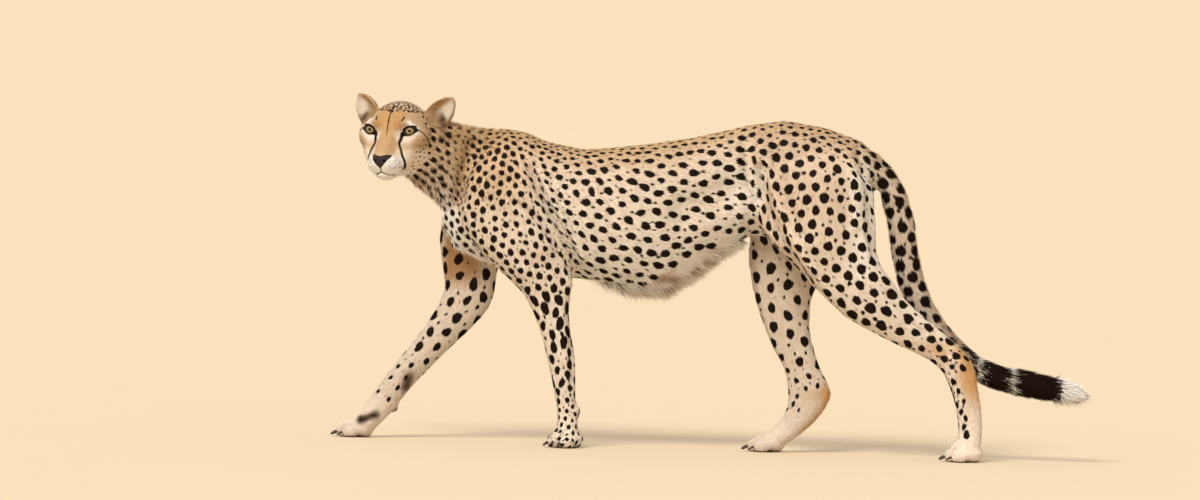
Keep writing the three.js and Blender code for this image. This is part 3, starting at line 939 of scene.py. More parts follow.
# How far inside the edge of a spot each point is, and of a faint one, in millimetres.
def spotMarks(points, nearest):
    best = np.full(len(points), farOutside)
    faint = np.full(len(points), farOutside)
    for k in range(nearest.shape[1]):
        i = nearest[:, k]
        arm = (points - spots["place"][i]) / mm
        ahead, outward = spots["ahead"][i], spots["outward"][i]
        x = dots(arm, ahead) / spots["stretch"][i]
        y = dots(arm, np.cross(outward, ahead)) * np.sqrt(spots["stretch"][i])
        z = dots(arm, outward) * 0.8
        angle = np.arctan2(y, x)
        wobble = 1 + 0.055 * np.sin(3 * angle + spots["phase"][i, 0])
        wobble += 0.03 * np.sin(5 * angle + spots["phase"][i, 1])
        inside = spots["size"][i] * wobble - np.sqrt(x * x + y * y + z * z)
        best = np.where(spots["faint"][i], best, np.maximum(best, inside))
        faint = np.where(spots["faint"][i], np.maximum(faint, inside), faint)
    return best, faint


# Lines drawn on the face, alike on both sides: u, v and w of each point, and half the width there.
faceLines = {
    "tear": [(29.5, 4, -7, 3.8), (30, 6, -16, 3.6), (30.5, 8, -26, 2.7), (32, 9, -34, 2.4),
             (36, 9.6, -44, 2.6), (39.8, 10, -55, 2.9), (43, 7, -66, 3.1), (44, 1, -76, 3.4),
             (44, -4, -84, 4.4), (42, -7, -91, 4.2)],
    "outerEye": [(62, -12, 6, 2.8), (68, -15, 3.5, 2.2), (76, -21, -3, 1.5), (81, -30, -13, 1.5),
                 (83, -50, -22, 2.2), (87, -63, -35, 2.4)],
    "browMark": [(32, 4, 25, 1.5), (34, -6, 32, 2.4), (36, -10, 38, 1.6)],
    "forehead": [(0, 20, -16, 0.3), (0, 14, -4, 0.8), (0, 5, 12, 1.1), (0, 0, 24, 1.3),
                 (0, -6, 36, 1.6), (0, -14, 48, 2.2), (0, -30, 58, 1.8)],
    "crownEdge": [(34, -30, 48, 1.1), (44, -40, 46, 1.4), (52, -56, 46, 1.6)],
    "earCorner": [(52, -66, 50, 2.0), (60, -78, 38, 2.8), (66, -86, 24, 3.4), (68, -88, 8, 3.0),
                  (70, -86, -8, 2)],
}

# Dots in four rows on the whisker pad, u and w.
whiskerRoots = [(21.5 + 4.8 * k + 2 * (row % 2), -68 - 5.3 * row + 0.8 * k)
                for row in range(4) for k in range(4)]


def ontoFace(line):  # lays a line on the skin, with a point every few millimetres
    line = np.array(line, float)
    steps = np.linspace(0, len(line) - 1, 6 * len(line))
    fine = np.stack([np.interp(steps, np.arange(len(line)), line[:, k]) for k in range(4)], 1)
    face = headPlaces[onHead & (headPlaces[:, 0] >= -1)]
    for point in fine:
        point[:3] = face[((face - point[:3]) ** 2).sum(1).argmin()]
    for _ in range(12):
        fine[1:-1] = (fine[:-2] + 2 * fine[1:-1] + fine[2:]) / 4
    return fine


def lineMarks(places):
    halfSide = np.abs(places * (1, 0, 0)) + places * (0, 1, 1)
    best = np.full(len(places), farOutside)
    for line in laidLines:
        away, along, _ = nearRoute(halfSide, line[:, :3])
        best = np.maximum(best, np.interp(along, np.arange(len(line)), line[:, 3]) - away)
    for u, w in whiskerRoots:
        dot = 1.0 - np.hypot(halfSide[:, 0] - u, halfSide[:, 2] - w)
        best = np.where(halfSide[:, 1] > 4, np.maximum(best, dot), best)
    return best


tailRings = [(58, 166), (173, 240), (252, 276)]  # the black ones, from the tip, millimetres
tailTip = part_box("tail_4")[1].x


def ringMarks(points):
    back = (tailTip - points[:, 0]) / mm
    wave = 3 * np.sin(points[:, 1] * 90) + 2 * np.sin(points[:, 2] * 160)
    best = np.full(len(points), farOutside)
    for near, far in tailRings:
        best = np.maximum(best, np.minimum(back + wave - near, far - back - wave))
    return best


def toeGapShade(points):  # painted shade: dark streaks in the gaps between the toes
    best = np.full(len(points), farOutside)
    for leg in feet:
        ahead, aside, up = toPaw(points, leg)
        gap = np.abs(aside[:, None] - toes["gaps"]).min(1)
        streak = pawLook["streak"] * ease(20, 30, ahead) * ease(2, 6, up) * ease(28, 22, up) - gap
        onToes = (ahead > 20) & (ahead < 60) & (np.abs(aside) < 40)
        best = np.where(onToes, np.maximum(best, streak), best)
    return best


def marksAt(points, nearest, onHead, onTail):
    marks, faint = spotMarks(points, nearest)
    places = toHead(points[onHead])
    u, v, w = folded(places)
    face = np.maximum(lineMarks(places), noseInside(u, v, w))
    lips = np.where((v > mouthLook["front"]) & (v < 70), 1.3 - lipGap(u, w), farOutside)
    face = np.maximum(face, lips)
    for side in eyeCentres:
        inside, far, x, y = lidPlaces(points[onHead], side)
        corner = 3.0 * ease(-8, -17, x) * ease(3, -3, y)
        rim = inside + 3.0 + 2.0 * ease(1, 6, y) + corner + 2.8 * ease(9, 18, x)
        face = np.maximum(face, np.where(far < 28, rim, farOutside))
    marks[onHead] = np.maximum(marks[onHead], face)
    # painted shade in the gaps between the toes, low on the paws
    low = points[:, 2] < 0.03
    marks[low] = np.maximum(marks[low], toeGapShade(points[low]))
    marks[onTail] = np.maximum(marks[onTail], ringMarks(points[onTail]))
    return marks, faint


onHead = isOn("head")
onTail = isOn("tail_3", "tail_4")
laidLines = [ontoFace(line) for line in faceLines.values()]
nearest = nearestSpots(skinCo)
marks = marksAt(skinCo, nearest, onHead, onTail)[0]


# ---------- the ground colours of the coat

tones = {
    "gold": linear(216, 179, 132),
    "orange": linear(202, 158, 104),
    "tan": linear(208, 176, 141),
    "buff": linear(243, 226, 208),
    "pale": linear(248, 235, 220),
    "cream": linear(252, 246, 238),
    "blush": linear(255, 236, 216),
    "white": linear(255, 252, 247),
    "ochre": linear(204, 150, 94),
    "rust": linear(184, 124, 88),
    "umber": linear(96, 64, 40),
    # the pale of the legs' inner sides, greyed by painted shade from the body
    "inner": linear(228, 213, 196),
    "heel": linear(212, 160, 96),
    "pad": linear(84, 58, 50),
    "earInside": linear(226, 211, 193),
    "earRim": linear(186, 140, 92),
    "brown": linear(158, 116, 76),
    "black": linear(26, 11, 4),
    "leather": linear(46, 38, 40),
}


def blendTo(colours, tone, share):
    return colours + (tones[tone] - colours) * np.clip(share, 0, 1)[:, None]


def layered(colours, layers):  # tones laid over each other, each by its share
    for tone, share in layers:
        colours = blendTo(colours, tone, share)
    return colours


def patchesOf(size):  # an even noise over the skin
    return np.array([noise.noise(place) for place in skinCo / (size * mm)])


def awayFrom(route):  # how far from a route of x and z, in millimetres
    return nearRoute(skinCo[:, [0, 2]], np.array(route) * mm)[0] / mm


def trunkLayers():
    up = skinNormals[:, 2]
    x, _, z = skinCo.T
    trunk = isOn("chest", "belly", "rump", "neck")
    neck = isOn("neck", "chest")
    scruff = neck * ease(-0.50, -0.55, x) * ease(0.67, 0.70, z)
    front = isOn("chest", "neck", "foreleg_left_upper", "foreleg_right_upper")
    haunch = isOn("rump", "hindleg_left_thigh", "hindleg_right_thigh")
    ham = haunch * ease(0.28, 0.34, x) * ease(0.71, 0.64, z)
    foldPaleAndSheen = isOn("belly", "rump") * ease(70, 35, awayFrom(creaseRoutes["flank"]))
    return [
        ("gold", 0.85 * trunk * ease(0.15, 0.95, up)),
        ("pale", 0.7 * trunk * ease(0.3, -0.1, up)),
        ("cream", trunk * ease(0.0, -0.7, up)),
        ("white", 0.95 * (neck * ease(-0.57, -0.61, x) * ease(0.67, 0.60, z))),  # throat: white fur, made paler still as painted light where the head shades it
        # painted shade: brown along the fold between the neck and the shoulder
        ("brown", 0.7 * neck * ease(32, 8, awayFrom(creaseRoutes["neck"]))),
        ("umber", 0.75 * scruff * ease(-0.05, 0.3, patchesOf(17))),
        ("brown", 0.3 * (neck * ease(-0.47, -0.53, x) * ease(0.62, 0.68, z))),  # nape
        ("gold", 0.7 * front * ease(-0.36, -0.5, x) * ease(0.50, 0.62, z)),
        ("tan", 0.45 * haunch * ease(0.46, 0.6, z)),
        ("cream", 0.75 * ham),
        # paler hair along the loose fold before the thigh, with a painted highlight on the fold
        ("cream", 0.6 * foldPaleAndSheen),
    ]


def legLayers():
    x, y, z = skinCo.T
    back, left = skinNormals[:, 0], skinNormals[:, 1]
    leg = isOn("foreleg", "hindleg")
    out = (y - bodyMiddle) * left * 40
    behindEdge = ease(-0.625, -0.608, x)
    # the far armpit: ochre fur, darkened further as painted shade under the chest
    armpitOchreAndShade = isOn("foreleg_right_upper", "chest") * (left < 0.3) * ease(0.03, 0.06, y) * behindEdge
    armpitOchreAndShade = armpitOchreAndShade * ease(0.40, 0.46, z) * ease(0.56, 0.50, z) * ease(-0.43, -0.46, x)
    # the inside of the far upper foreleg: brown fur, darkened further as painted shade under the body
    inner = isOn("foreleg_right_upper", "foreleg_right_forearm")
    inner = inner * ease(0.35, 0.39, z) * ease(0.50, 0.44, z)
    inner = inner * ease(0.2, -0.3, left) * ease(0.45, -0.1, back) * behindEdge
    heel = isOn("hindleg_left_metatarsus", "hindleg_right_metatarsus", "hindleg_left_shank")
    heel = heel * ease(-0.3, 0.1, back) * ease(0.29, 0.25, z) * ease(0.10, 0.18, z)
    farHeel = isOn("hindleg_right_metatarsus", "hindleg_right_shank") * ease(0.1, 0.5, back)
    heel = heel + 0.7 * farHeel * ease(0.18, 0.15, z) * ease(0.03, 0.07, z)
    return [
        ("pale", 0.8 * leg * ease(0.5, 0.3, z)),
        # the legs' inner sides: pale fur greyed by painted shade from the body
        ("inner", 0.9 * leg * ease(0.1, -0.5, out)),
        ("ochre", 0.6 * armpitOchreAndShade),
        ("brown", 0.85 * inner),
        ("ochre", 0.35 * inner),
        ("heel", 0.9 * heel),
        ("pad", padShare()),
    ]


def tailAndFringeLayers():
    x, y, z = skinCo.T
    blotches = patchesOf(24)
    tip = isOn("tail_3", "tail_4") * ease(300, 230, (tailTip - x) / mm)
    fringe = isOn("belly", "chest") * (z < np.interp(x, bellyLine[0], bellyLine[1]))
    fringe = fringe * ease(0.04, -0.03, x)
    layers = [
        ("tan", isOn("tail") * ease(-0.2, 0.8, skinNormals[:, 2]) * 0.8),
        ("white", tip),
        ("ochre", 0.45 * fringe * ease(-0.1, 0.25, blotches)),
        ("umber", 0.6 * fringe * ease(0.15, 0.4, blotches)),
    ]
    for route, wide, share in smears:
        away = awayFrom(route) + 5 * blotches
        on = share * isOn("foreleg_right") * (y < 0.1)
        layers.append(("umber", on * ease(wide, wide * 0.6, away)))
        layers.append(("black", on * ease(wide * 0.8, wide * 0.4, away)))
    return layers


def groundColours():
    colours = np.tile(tones["buff"], (len(skinCo), 1))
    colours = layered(colours, trunkLayers() + legLayers() + tailAndFringeLayers())
    colours = net.spread(headColours(colours), 4)
    # painted shade in the hollows of the narrow creases and a painted highlight on their ridges
    creaseShadeAndHighlight = np.clip(sum(creaseShadingStrokes), -12, 5)
    return colours * (1 + 0.022 * net.spread(creaseShadeAndHighlight, 2))[:, None]


# Brown smears on the far foreleg, by the wrist and behind the forearm: x and z, how wide, how strong.
smears = [([(-796, 42), (-762, 53)], 11, 1.0), ([(-688, 148), (-696, 122)], 14, 0.8)]


def padShare():  # the bare soles, and the pads behind the wrists
    share = isOn(*paws) * ease(-0.6, -0.85, skinNormals[:, 2]) * ease(12, 7, skinCo[:, 2] / mm)
    for place, reach in wristPads:
        away = np.linalg.norm(skinCo - place, axis=1) / mm
        share = np.maximum(share, ease(reach, reach * 0.6, away))
    return share


def headColours(colours):
    u, v, w = folded(headPlaces)
    brow = ease(40, 26, u) * ease(2, 12, w) * ease(64, 44, w)
    bridge = ease(24, 10, u) * ease(-66, -34, w) * ease(10, 2, w) * ease(-10, 4, v)
    patch = np.exp(-((u - 21) / 9) ** 2 - ((w - 22) / 13) ** 2)
    shade = ease(16, 25, u) * ease(34, 27, u) * ease(-40, -26, w) * ease(6, -4, w) * ease(-10, 4, v)
    streak = ease(9, 3, u) * ease(-14, 6, w) * ease(46, 36, w) * (v > -20)
    cheek = ease(40, 48, u) * ease(-8, -22, w) * ease(-62, -44, w)
    cheek = cheek * ease(-66, -50, v) * ease(2, -14, v)
    lowCheekPaleAndLit = ease(30, 42, u) * ease(-34, -48, w) * ease(-78, -50, v)
    beside = ease(20, 26, u) * ease(34, 30, u) * ease(-40, -50, w) * ease(-10, 4, v)
    face = layered(np.tile(tones["tan"], (len(u), 1)), [
        ("orange", np.maximum(0.8 * brow, 0.5 * bridge)),
        ("ochre", 0.5 * patch * (v > -20)),
        ("ochre", 0.3 * shade),
        ("ochre", 0.45 * streak),
        ("buff", 0.35 * (ease(46, 56, w) * ease(10, -10, v))),  # crown
        ("brown", 0.18 * cheek),
        # the lower cheek: pale fur, painted nearly white as painted light where it faces down into shade
        ("blush", 0.9 * lowCheekPaleAndLit),
        ("pale", 0.6 * ease(-50, -80, v) * ease(20, -10, w)),
        ("cream", 0.5 * beside),
        ("white", ease(-10, 8, v) * ease(-50, -68, w) * ease(6, 18, u + (-62 - w) * 0.8)),  # muzzle
        ("white", ease(-84, -98, w)),
    ])
    for side in eyeCentres:
        inside, far, x, y = lidPlaces(skinCo, side)
        below = ease(-11, -5, inside) * (y < 2)
        above = ease(-14, -10, inside) * ease(0, 4, y) * ease(-6, 6, x) * ease(-4, -6, inside)
        face = blendTo(face, "cream", 0.9 * np.maximum(below, above) * (far < 40))
    colours = np.where(onHead[:, None], face, colours)
    for side, sign in sides.items():
        colours = np.where(isOn("ear_" + side)[:, None], earColours(sign), colours)
    notch, along, _ = nearRoute(np.stack([u, v, w], 1), earNotch)
    return blendTo(colours, "black", (0.95 - 0.2 * along) * ease(14, 8, notch))


# The dark smear under the ear: u, v and w.
earNotch = [(90, -93, 29), (93, -90, 18), (96, -85, 8), (100, -82, -3)]

# The right ear: its middle and half its width and height, how much flatter the half by the crown is,
# how far it leans, in degrees, and the way that its inside faces.
earLook = {
    "middle": (88, -92, 44),
    "half": (29, 45),
    "flatter": 0.78,
    "lean": 42,
    "facing": (0.408, 0.913, 0),
}


def earFacing(sign):  # 1 where the skin faces as the ear's inside does
    return skinNormals @ (np.array(earLook["facing"]) * (sign, 1, 1) @ headAxes)


def earColours(sign):  # a tan rim, pale inside, black behind
    u, _, w = headPlaces.T
    facing = earFacing(sign)
    lean = math.radians(earLook["lean"])
    out, up = u * sign - earLook["middle"][0], w - earLook["middle"][2]
    across = (out * math.cos(lean) - up * math.sin(lean)) / earLook["half"][0]
    across = np.where(across < 0, across / earLook["flatter"], across)
    along = (out * math.sin(lean) + up * math.cos(lean)) / earLook["half"][1]
    edge = np.hypot(across, along)
    inner = ease(0.1, 0.5, facing)
    crownSide = ease(-0.26, -0.48, across - 0.25 * along)  # the rim is broader here
    rim = np.maximum(ease(0.80, 0.92, edge), crownSide)
    foot = inner * ease(0.08, -0.08, along + 0.27 - 0.43 * across)  # the cheek's fur covers it here
    return layered(np.tile(tones["tan"], (len(u), 1)), [
        ("black", ease(-0.25, -0.6, facing) * ease(-0.6, -0.2, along) * 0.9),
        ("earInside", inner),
        ("earRim", 0.9 * inner * rim),
        ("brown", inner * ease(0.94, 1.04, edge) * 0.5),
        ("tan", foot),
        ("brown", 0.45 * foot),
    ])


def mottle(colours):  # the unevenness of hair: patches of darker and paler tips
    places = skinCo / mm
    fine = np.array([noise.noise(place / 6) for place in places])
    broad = np.array([noise.noise(place / 22) for place in places])
    darker = 0.22 * (fine * 1.4 - 0.1).clip(0, 1) + 0.1 * broad.clip(0, 1)
    colours = blendTo(colours, "ochre", darker)
    return colours * (1 + 0.05 * fine + 0.04 * broad)[:, None]


nostril = [(9.5, -68), (12, -69.5), (16, -71), (19, -68.5)]  # the middle of the opening, u and w


def leatherShare():  # 1 on the bare nose; 0 in the nostrils and the groove between them, which stay black as painted shade
    u, v, w = folded(headPlaces)
    opening, along, _ = nearRoute(np.stack([u, w], 1), nostril)
    wide = np.interp(along, [0, 1, 2, 3], [3.0, 2.8, 1.5, 0.9])
    grooveShade = ease(1.8, 0.5, u) * ease(-62, -68, w)
    share = ease(0.2, 2.2, noseInside(u, v, w)) * onHead
    return share * ease(-0.3, 1.2, opening - wide) * (1 - 0.8 * grooveShade)


ground = mottle(groundColours())
print("markings laid")


# ---------- materials

class Wire:  # a socket's output that can be worked with like a number
    def __init__(self, tree, socket):
        self.tree = tree
        self.socket = socket

    def math(self, operation, *others):
        return self.tree.node("ShaderNodeMath", {"operation": operation}, [self, *others])

    def __add__(self, other):
        return self.math("ADD", other)

    def __radd__(self, other):
        return self.math("ADD", other)

    def __sub__(self, other):
        return self.math("SUBTRACT", other)

    def __rsub__(self, other):
        return self.tree.node("ShaderNodeMath", {"operation": "SUBTRACT"}, [other, self])

    def __mul__(self, other):
        return self.math("MULTIPLY", other)

    def __rmul__(self, other):
        return self.math("MULTIPLY", other)


class Paint:  # one material's nodes
    def __init__(self, name):
        self.material = bpy.data.materials.new(name)
        self.material.use_nodes = True
        self.nodes = self.material.node_tree.nodes
        self.links = self.material.node_tree.links
        self.shader = self.nodes["Principled BSDF"]

    def plug(self, socket, value):
        if isinstance(value, Wire):
            self.links.new(value.socket, socket)
        else:
            socket.default_value = value

    def node(self, kind, settings, inputs, output=0):
        made = self.nodes.new(kind)
        for key, value in settings.items():
            setattr(made, key, value)
        pairs = inputs.items() if isinstance(inputs, dict) else enumerate(inputs)
        for key, value in pairs:
            self.plug(made.inputs[key], value)
        return Wire(self, made.outputs[output])

    def attribute(self, name, output="Fac"):
        return self.node("ShaderNodeAttribute", {"attribute_name": name}, {}, output)

    def between(self, value, low, high):  # 0 below low, 1 above high
        settings = {"interpolation_type": "SMOOTHSTEP"}
        return self.node("ShaderNodeMapRange", settings, {0: value, 1: low, 2: high})

    def mix(self, share, first, second):
        settings = {"data_type": "RGBA"}
        return self.node("ShaderNodeMix", settings, {0: share, 6: first, 7: second}, 2)

    def noise(self, scale, detail, stretch=(1, 1, 1)):
        place = self.node("ShaderNodeTexCoord", {}, {}, "Object")
        place = self.node("ShaderNodeMapping", {}, {"Vector": place, "Scale": stretch})
        sockets = {"Vector": place, "Scale": scale, "Detail": detail}
        return self.node("ShaderNodeTexNoise", {}, sockets)

    def bump(self, height, distance, strength=1.0):
        sockets = {"Height": height, "Distance": distance, "Strength": strength}
        self.plug(self.shader.inputs["Normal"], self.node("ShaderNodeBump", {}, sockets))

    def set(self, **sockets):
        for key, value in sockets.items():
            self.plug(self.shader.inputs[key.replace("_", " ")], value)


def rgba(colour, times=1.0):
    return (*(np.asarray(colour) * times), 1.0)


furLook = {
    "edge": 0.6,  # half the width of a marking's soft edge, in millimetres
    "roughness": 0.6,
    "rootShade": 0.8,
    "round": 0.4,  # how far the shading of a tuft turns to its sides
    "ruffled": 0.14,
    "upright": 1.5,
}


def furPaint(name, onSkin):
    paint = Paint(name)
    tone = paint.attribute("tone", "Color")
    mark = paint.attribute("mark")
    if onSkin:
        tip = 0.2 + 0.5 * paint.noise(420, 3)
        paint.bump(paint.noise(700, 2), 1.0 * mm, 0.5)
    else:
        tip = paint.attribute("tip")
    shade = furLook["rootShade"] + (1 - furLook["rootShade"]) * tip
    dark = paint.between(mark, -furLook["edge"], furLook["edge"])
    lit = paint.node("ShaderNodeVectorMath", {"operation": "SCALE"}, {0: tone, "Scale": shade})
    # the spots' black also takes the painted shade at the roots and is lighter at the tips
    black = paint.mix(tip, rgba(tones["black"], 0.6), rgba(tones["black"], 1.4))
    paint.set(Roughness=furLook["roughness"], Specular_IOR_Level=0.12)
    if onSkin:
        bare = paint.attribute("leather")
        black = paint.mix(bare, black, rgba(tones["leather"]))
        paint.set(Roughness=furLook["roughness"] - 0.2 * bare)
        paint.set(Coat_Weight=0.25 * bare, Coat_Roughness=0.35)
    paint.set(Base_Color=paint.mix(dark, lit, black))
    return paint.material


# ---------- the finished skin

storeColours(skinMesh, "tone", ground)
storeNumbers(skinMesh, "mark", marks)
storeNumbers(skinMesh, "leather", leatherShare())
numbers = np.arange(len(skinCo), dtype=np.int32)
skinMesh.attributes.new("place", "INT", "POINT").data.foreach_set("value", numbers)
skinMesh.materials.clear()
skinMesh.materials.append(furPaint("skin", True))
skinMesh.shade_smooth()
skin = addObject("skin", skinMesh)
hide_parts(*fleshNodes)
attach(skin, "root")


# ---------- the coat

furOnMesh = furPaint("fur", False)
coatPlan = {
    "most": 46000,  # tufts in one piece
    "patch": 0.0015,  # half the side of a tuft's patch on the map
    "lowest": 0.4 * mm,
    "rooted": 0.4 * mm,  # how far under the skin a tuft starts
    "turn": 0.15,
    "lifts": (0.6, 1.4),  # least and most of what the place says
    "lengths": (0.7, 1.15),
    "widths": (0.8, 1.2),
    "falls": (0.6, 1.2),
    "markedAt": (0.25, 0.4, 0.6),  # how far along a tuft its marking is read: root, face, tip
    "astray": 0.35,  # how far hairs carry a marking's edge, in millimetres
    "astrayOnTail": 3.5,
    "whiteHairs": 0.08,  # in the black rings
}

# The nodes that each piece grows on, and how many square millimetres of skin each tuft has.
coatPieces = {
    "coat_head": (("head", "ear"), 2.15),
    "coat_neck": (("neck",), 3.5),
    "coat_chest": (("chest",), 5.9),
    "coat_belly": (("belly",), 5.6),
    "coat_rump": (("rump",), 5.9),
    "coat_foreleg_left": (("foreleg_left",), 3.9),
    "coat_foreleg_right": (("foreleg_right",), 3.95),
    "coat_hindleg_left": (("hindleg_left",), 4.6),
    "coat_hindleg_right": (("hindleg_right",), 4.65),
    "coat_tail": (("tail",), 3.4),
}


def patchOf(starts):  # the skin of some nodes, cut out and laid flat on its own map
    grows = isOn(*starts)
    bm = bmesh.new()
    bm.from_mesh(skinMesh)
    bm.verts.ensure_lookup_table()
    others = [f for f in bm.faces if not grows[f.verts[0].index]]
    bmesh.ops.delete(bm, geom=others, context="FACES")
    bmesh.ops.triangulate(bm, faces=bm.faces)
    mesh = meshFrom(bm, "patch")
    patch = addObject("patch", mesh)
    mesh.uv_layers.new(name="flat")
    bpy.context.view_layer.objects.active = patch
    patch.select_set(True)
    bpy.ops.object.mode_set(mode="EDIT")
    bpy.ops.mesh.select_all(action="SELECT")
    bpy.ops.uv.smart_project(angle_limit=1.15, island_margin=0.004)
    bpy.ops.object.mode_set(mode="OBJECT")
    corners = readAll(mesh.loops, "vertex_index", 1, np.int32).ravel()
    flat = readAll(mesh.uv_layers["flat"].data, "uv", 2)
    place = readAll(mesh.attributes["place"].data, "value", 1, np.int32).ravel()
    bpy.data.objects.remove(patch)
    bpy.data.meshes.remove(mesh)
    return place[corners].reshape(-1, 3), flat.reshape(-1, 3, 2)


# A mesh of closed three-sided tufts. Each starts at its root, runs ahead, and is pulled by its fall
# the more the further along it is. Gives the mesh, its faces' corners within one tuft, how far along
# the tuft each corner stands, and which way each leans.
def tuftMesh(name, root, ahead, outward, long, wide, fall, bends):
    side = unit(np.cross(ahead, outward))
    corners, normals, heights = [], [], []
    for k in range(bends + 1):
        t = k / (bends + 1)
        way = unit(ahead + 2 * t * fall)
        top = unit(np.cross(side, way))
        middle = root + (ahead * t + fall * t * t) * long[:, None]
        half = (wide * (1 - 0.6 * t) / 2)[:, None]
        corners += [middle - side * half, middle + side * half, middle + top * half]
        facing = unit(outward + top * furLook["upright"] * bends)
        normals += [facing - side * furLook["round"], facing + side * furLook["round"], facing]
        heights += [t] * 3
    corners.append(root + (ahead + fall) * long[:, None])
    normals.append(facing + ahead * 0.3)
    heights.append(1.0)
    faces = [(0, 1, 2)]
    for k in range(bends):
        for a, b in ((0, 1), (1, 2), (2, 0)):
            p, q = 3 * k + a, 3 * k + b
            faces += [(q, p, p + 3), (q, p + 3, q + 3)]
    last = 3 * bends
    faces += [(last + b, last + a, last + 3) for a, b in ((0, 1), (1, 2), (2, 0))]
    faces, heights = np.array(faces), np.array(heights)
    count, perTuft = len(root), len(heights)
    co = np.stack(corners, 1).reshape(-1, 3)
    co[:, 2] = np.maximum(co[:, 2], coatPlan["lowest"])
    index = (np.arange(count) * perTuft)[:, None, None] + faces[None]
    mesh = bpy.data.meshes.new(name)
    mesh.vertices.add(count * perTuft)
    mesh.vertices.foreach_set("co", co.astype(np.float32).ravel())
    mesh.loops.add(index.size)
    mesh.loops.foreach_set("vertex_index", index.astype(np.int32).ravel())
    mesh.polygons.add(index.size // 3)
    mesh.polygons.foreach_set("loop_start", np.arange(0, index.size, 3, dtype=np.int32))
    mesh.update(calc_edges=True)
    mesh.shade_smooth()
    leans = np.stack(normals, 1) + rng.normal(0, furLook["ruffled"], (count, 1, 3))
    mesh.normals_split_custom_set_from_vertices(unit(leans).reshape(-1, 3))
    return mesh, faces, heights


def spreadOf(heights):  # where a tuft's corners lie on its patch of the map
    half = coatPlan["patch"]
    places = np.zeros((len(heights), 2))
    places[:, 1] = half * (2 * heights - 1)
    left = half * (1 - heights)
    places[0:-1:3, 0], places[1:-1:3, 0] = -left[0:-1:3], left[1:-1:3]
    places[2:-1:3, 1] += half * 0.4
    return places


def amongTufts(key, count):  # a factor that differs from tuft to tuft
    return rng.uniform(*coatPlan[key], count)


# Lays one piece of coat. Where it grows is a weight for each vertex of the skin. The rest changes
# the hair from what the field of the place says: longer and wider are factors, lift is in degrees,
# fall is the pull of the hair's own weight, and outward turns it away from the animal's middle.
def layCoat(name, starts, count, where, longer=1.0, wider=1.0, lift=0.0, fall=0.0, bends=0, outward=0.0):
    triangles, flat = patchOf(starts)
    rows, shares = samplesOn(triangles, skinCo, where, count)
    corners = triangles[rows]
    root = mixed(skinCo, corners, shares)
    above = unit(mixed(skinNormals, corners, shares))
    along = unit(mixed(lie, corners, shares))
    if outward:
        aside = np.sign(headPlaces[:, :1]) * headRight
        along = unit(along + (aside * outward)[corners[:, 0]])
    along = unit(along - above * dots(along, above)[:, None])
    turn = rng.normal(0, coatPlan["turn"], count)[:, None]
    along = along * np.cos(turn) + np.cross(above, along) * np.sin(turn)
    stands = (mixed(hair["lift"], corners, shares) + lift) * amongTufts("lifts", count)
    stands = np.radians(stands)[:, None]
    ahead = along * np.cos(stands) + above * np.sin(stands)
    long = mixed(hair["long"], corners, shares) * mm * amongTufts("lengths", count) * longer
    wide = mixed(hair["wide"], corners, shares) * mm * amongTufts("widths", count) * wider
    pull = np.array([0, 0, -fall]) * amongTufts("falls", (count, 1))
    start = root - above * coatPlan["rooted"]
    mesh, faces, heights = tuftMesh(name, start, ahead, above, long, wide, pull, bends)
    perTuft = len(heights)
    onHeadHere, onTailHere = onHead[corners[:, 0]], onTail[corners[:, 0]]
    near = nearest[corners[:, 0]]
    faint = marksAt(root, near, onHeadHere, onTailHere)[1]
    low, half, high = (
        marksAt(root + ahead * long[:, None] * part, near, onHeadHere, onTailHere)[0]
        for part in coatPlan["markedAt"])
    low, high = (np.where(onHeadHere, half, end) for end in (low, high))
    strays = np.where(onTailHere, coatPlan["astrayOnTail"], coatPlan["astray"])
    astray = rng.normal(0, 1, count) * strays
    astray -= 14 * onTailHere * (rng.random(count) < coatPlan["whiteHairs"])
    low, high = low + astray, high + astray
    mark = low[:, None] * (1 - heights) + high[:, None] * heights
    tone = mixed(ground, corners, shares)
    tone = blendTo(tone, "rust", 0.75 * ease(-0.8, 0.6, faint))
    tone = tone * rng.normal(1, 0.075, (count, 1)).clip(0.8, 1.2)
    storeColours(mesh, "tone", np.repeat(tone, perTuft, axis=0))
    storeNumbers(mesh, "mark", mark.ravel())
    storeNumbers(mesh, "tip", np.tile(heights, count))
    centre = (flat[rows] * shares[:, :, None]).sum(1)
    uv = centre[:, None, None] + spreadOf(heights)[faces][None]
    mesh.uv_layers.new(name="OFBake").data.foreach_set("uv", uv.astype(np.float32).ravel())
    mesh.materials.append(furOnMesh)
    piece = addObject(name, mesh)
    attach(piece, "root")
    return len(mesh.polygons)


def areaOf(starts):  # square millimetres
    triangles = trianglesOf(skinMesh)
    triangles = triangles[isOn(*starts)[triangles[:, 0]]]
    return areasOf(triangles, skinCo).sum() / mm**2


def furred():  # 0 on the nose, the lips and the rims of the lids
    u, v, w = folded(headPlaces)
    lips = ease(2.5, 1.0, lipGap(u, w)) * (v > mouthLook["front"]) * (v < 70)
    bare = np.maximum(ease(-2, 0, noseInside(u, v, w)), lips)
    for side in eyeCentres:
        inside, far, _, _ = lidPlaces(skinCo, side)
        bare = np.maximum(bare, ease(-3.6, -2.6, inside) * (far < 30))
    return 1 - bare * onHead


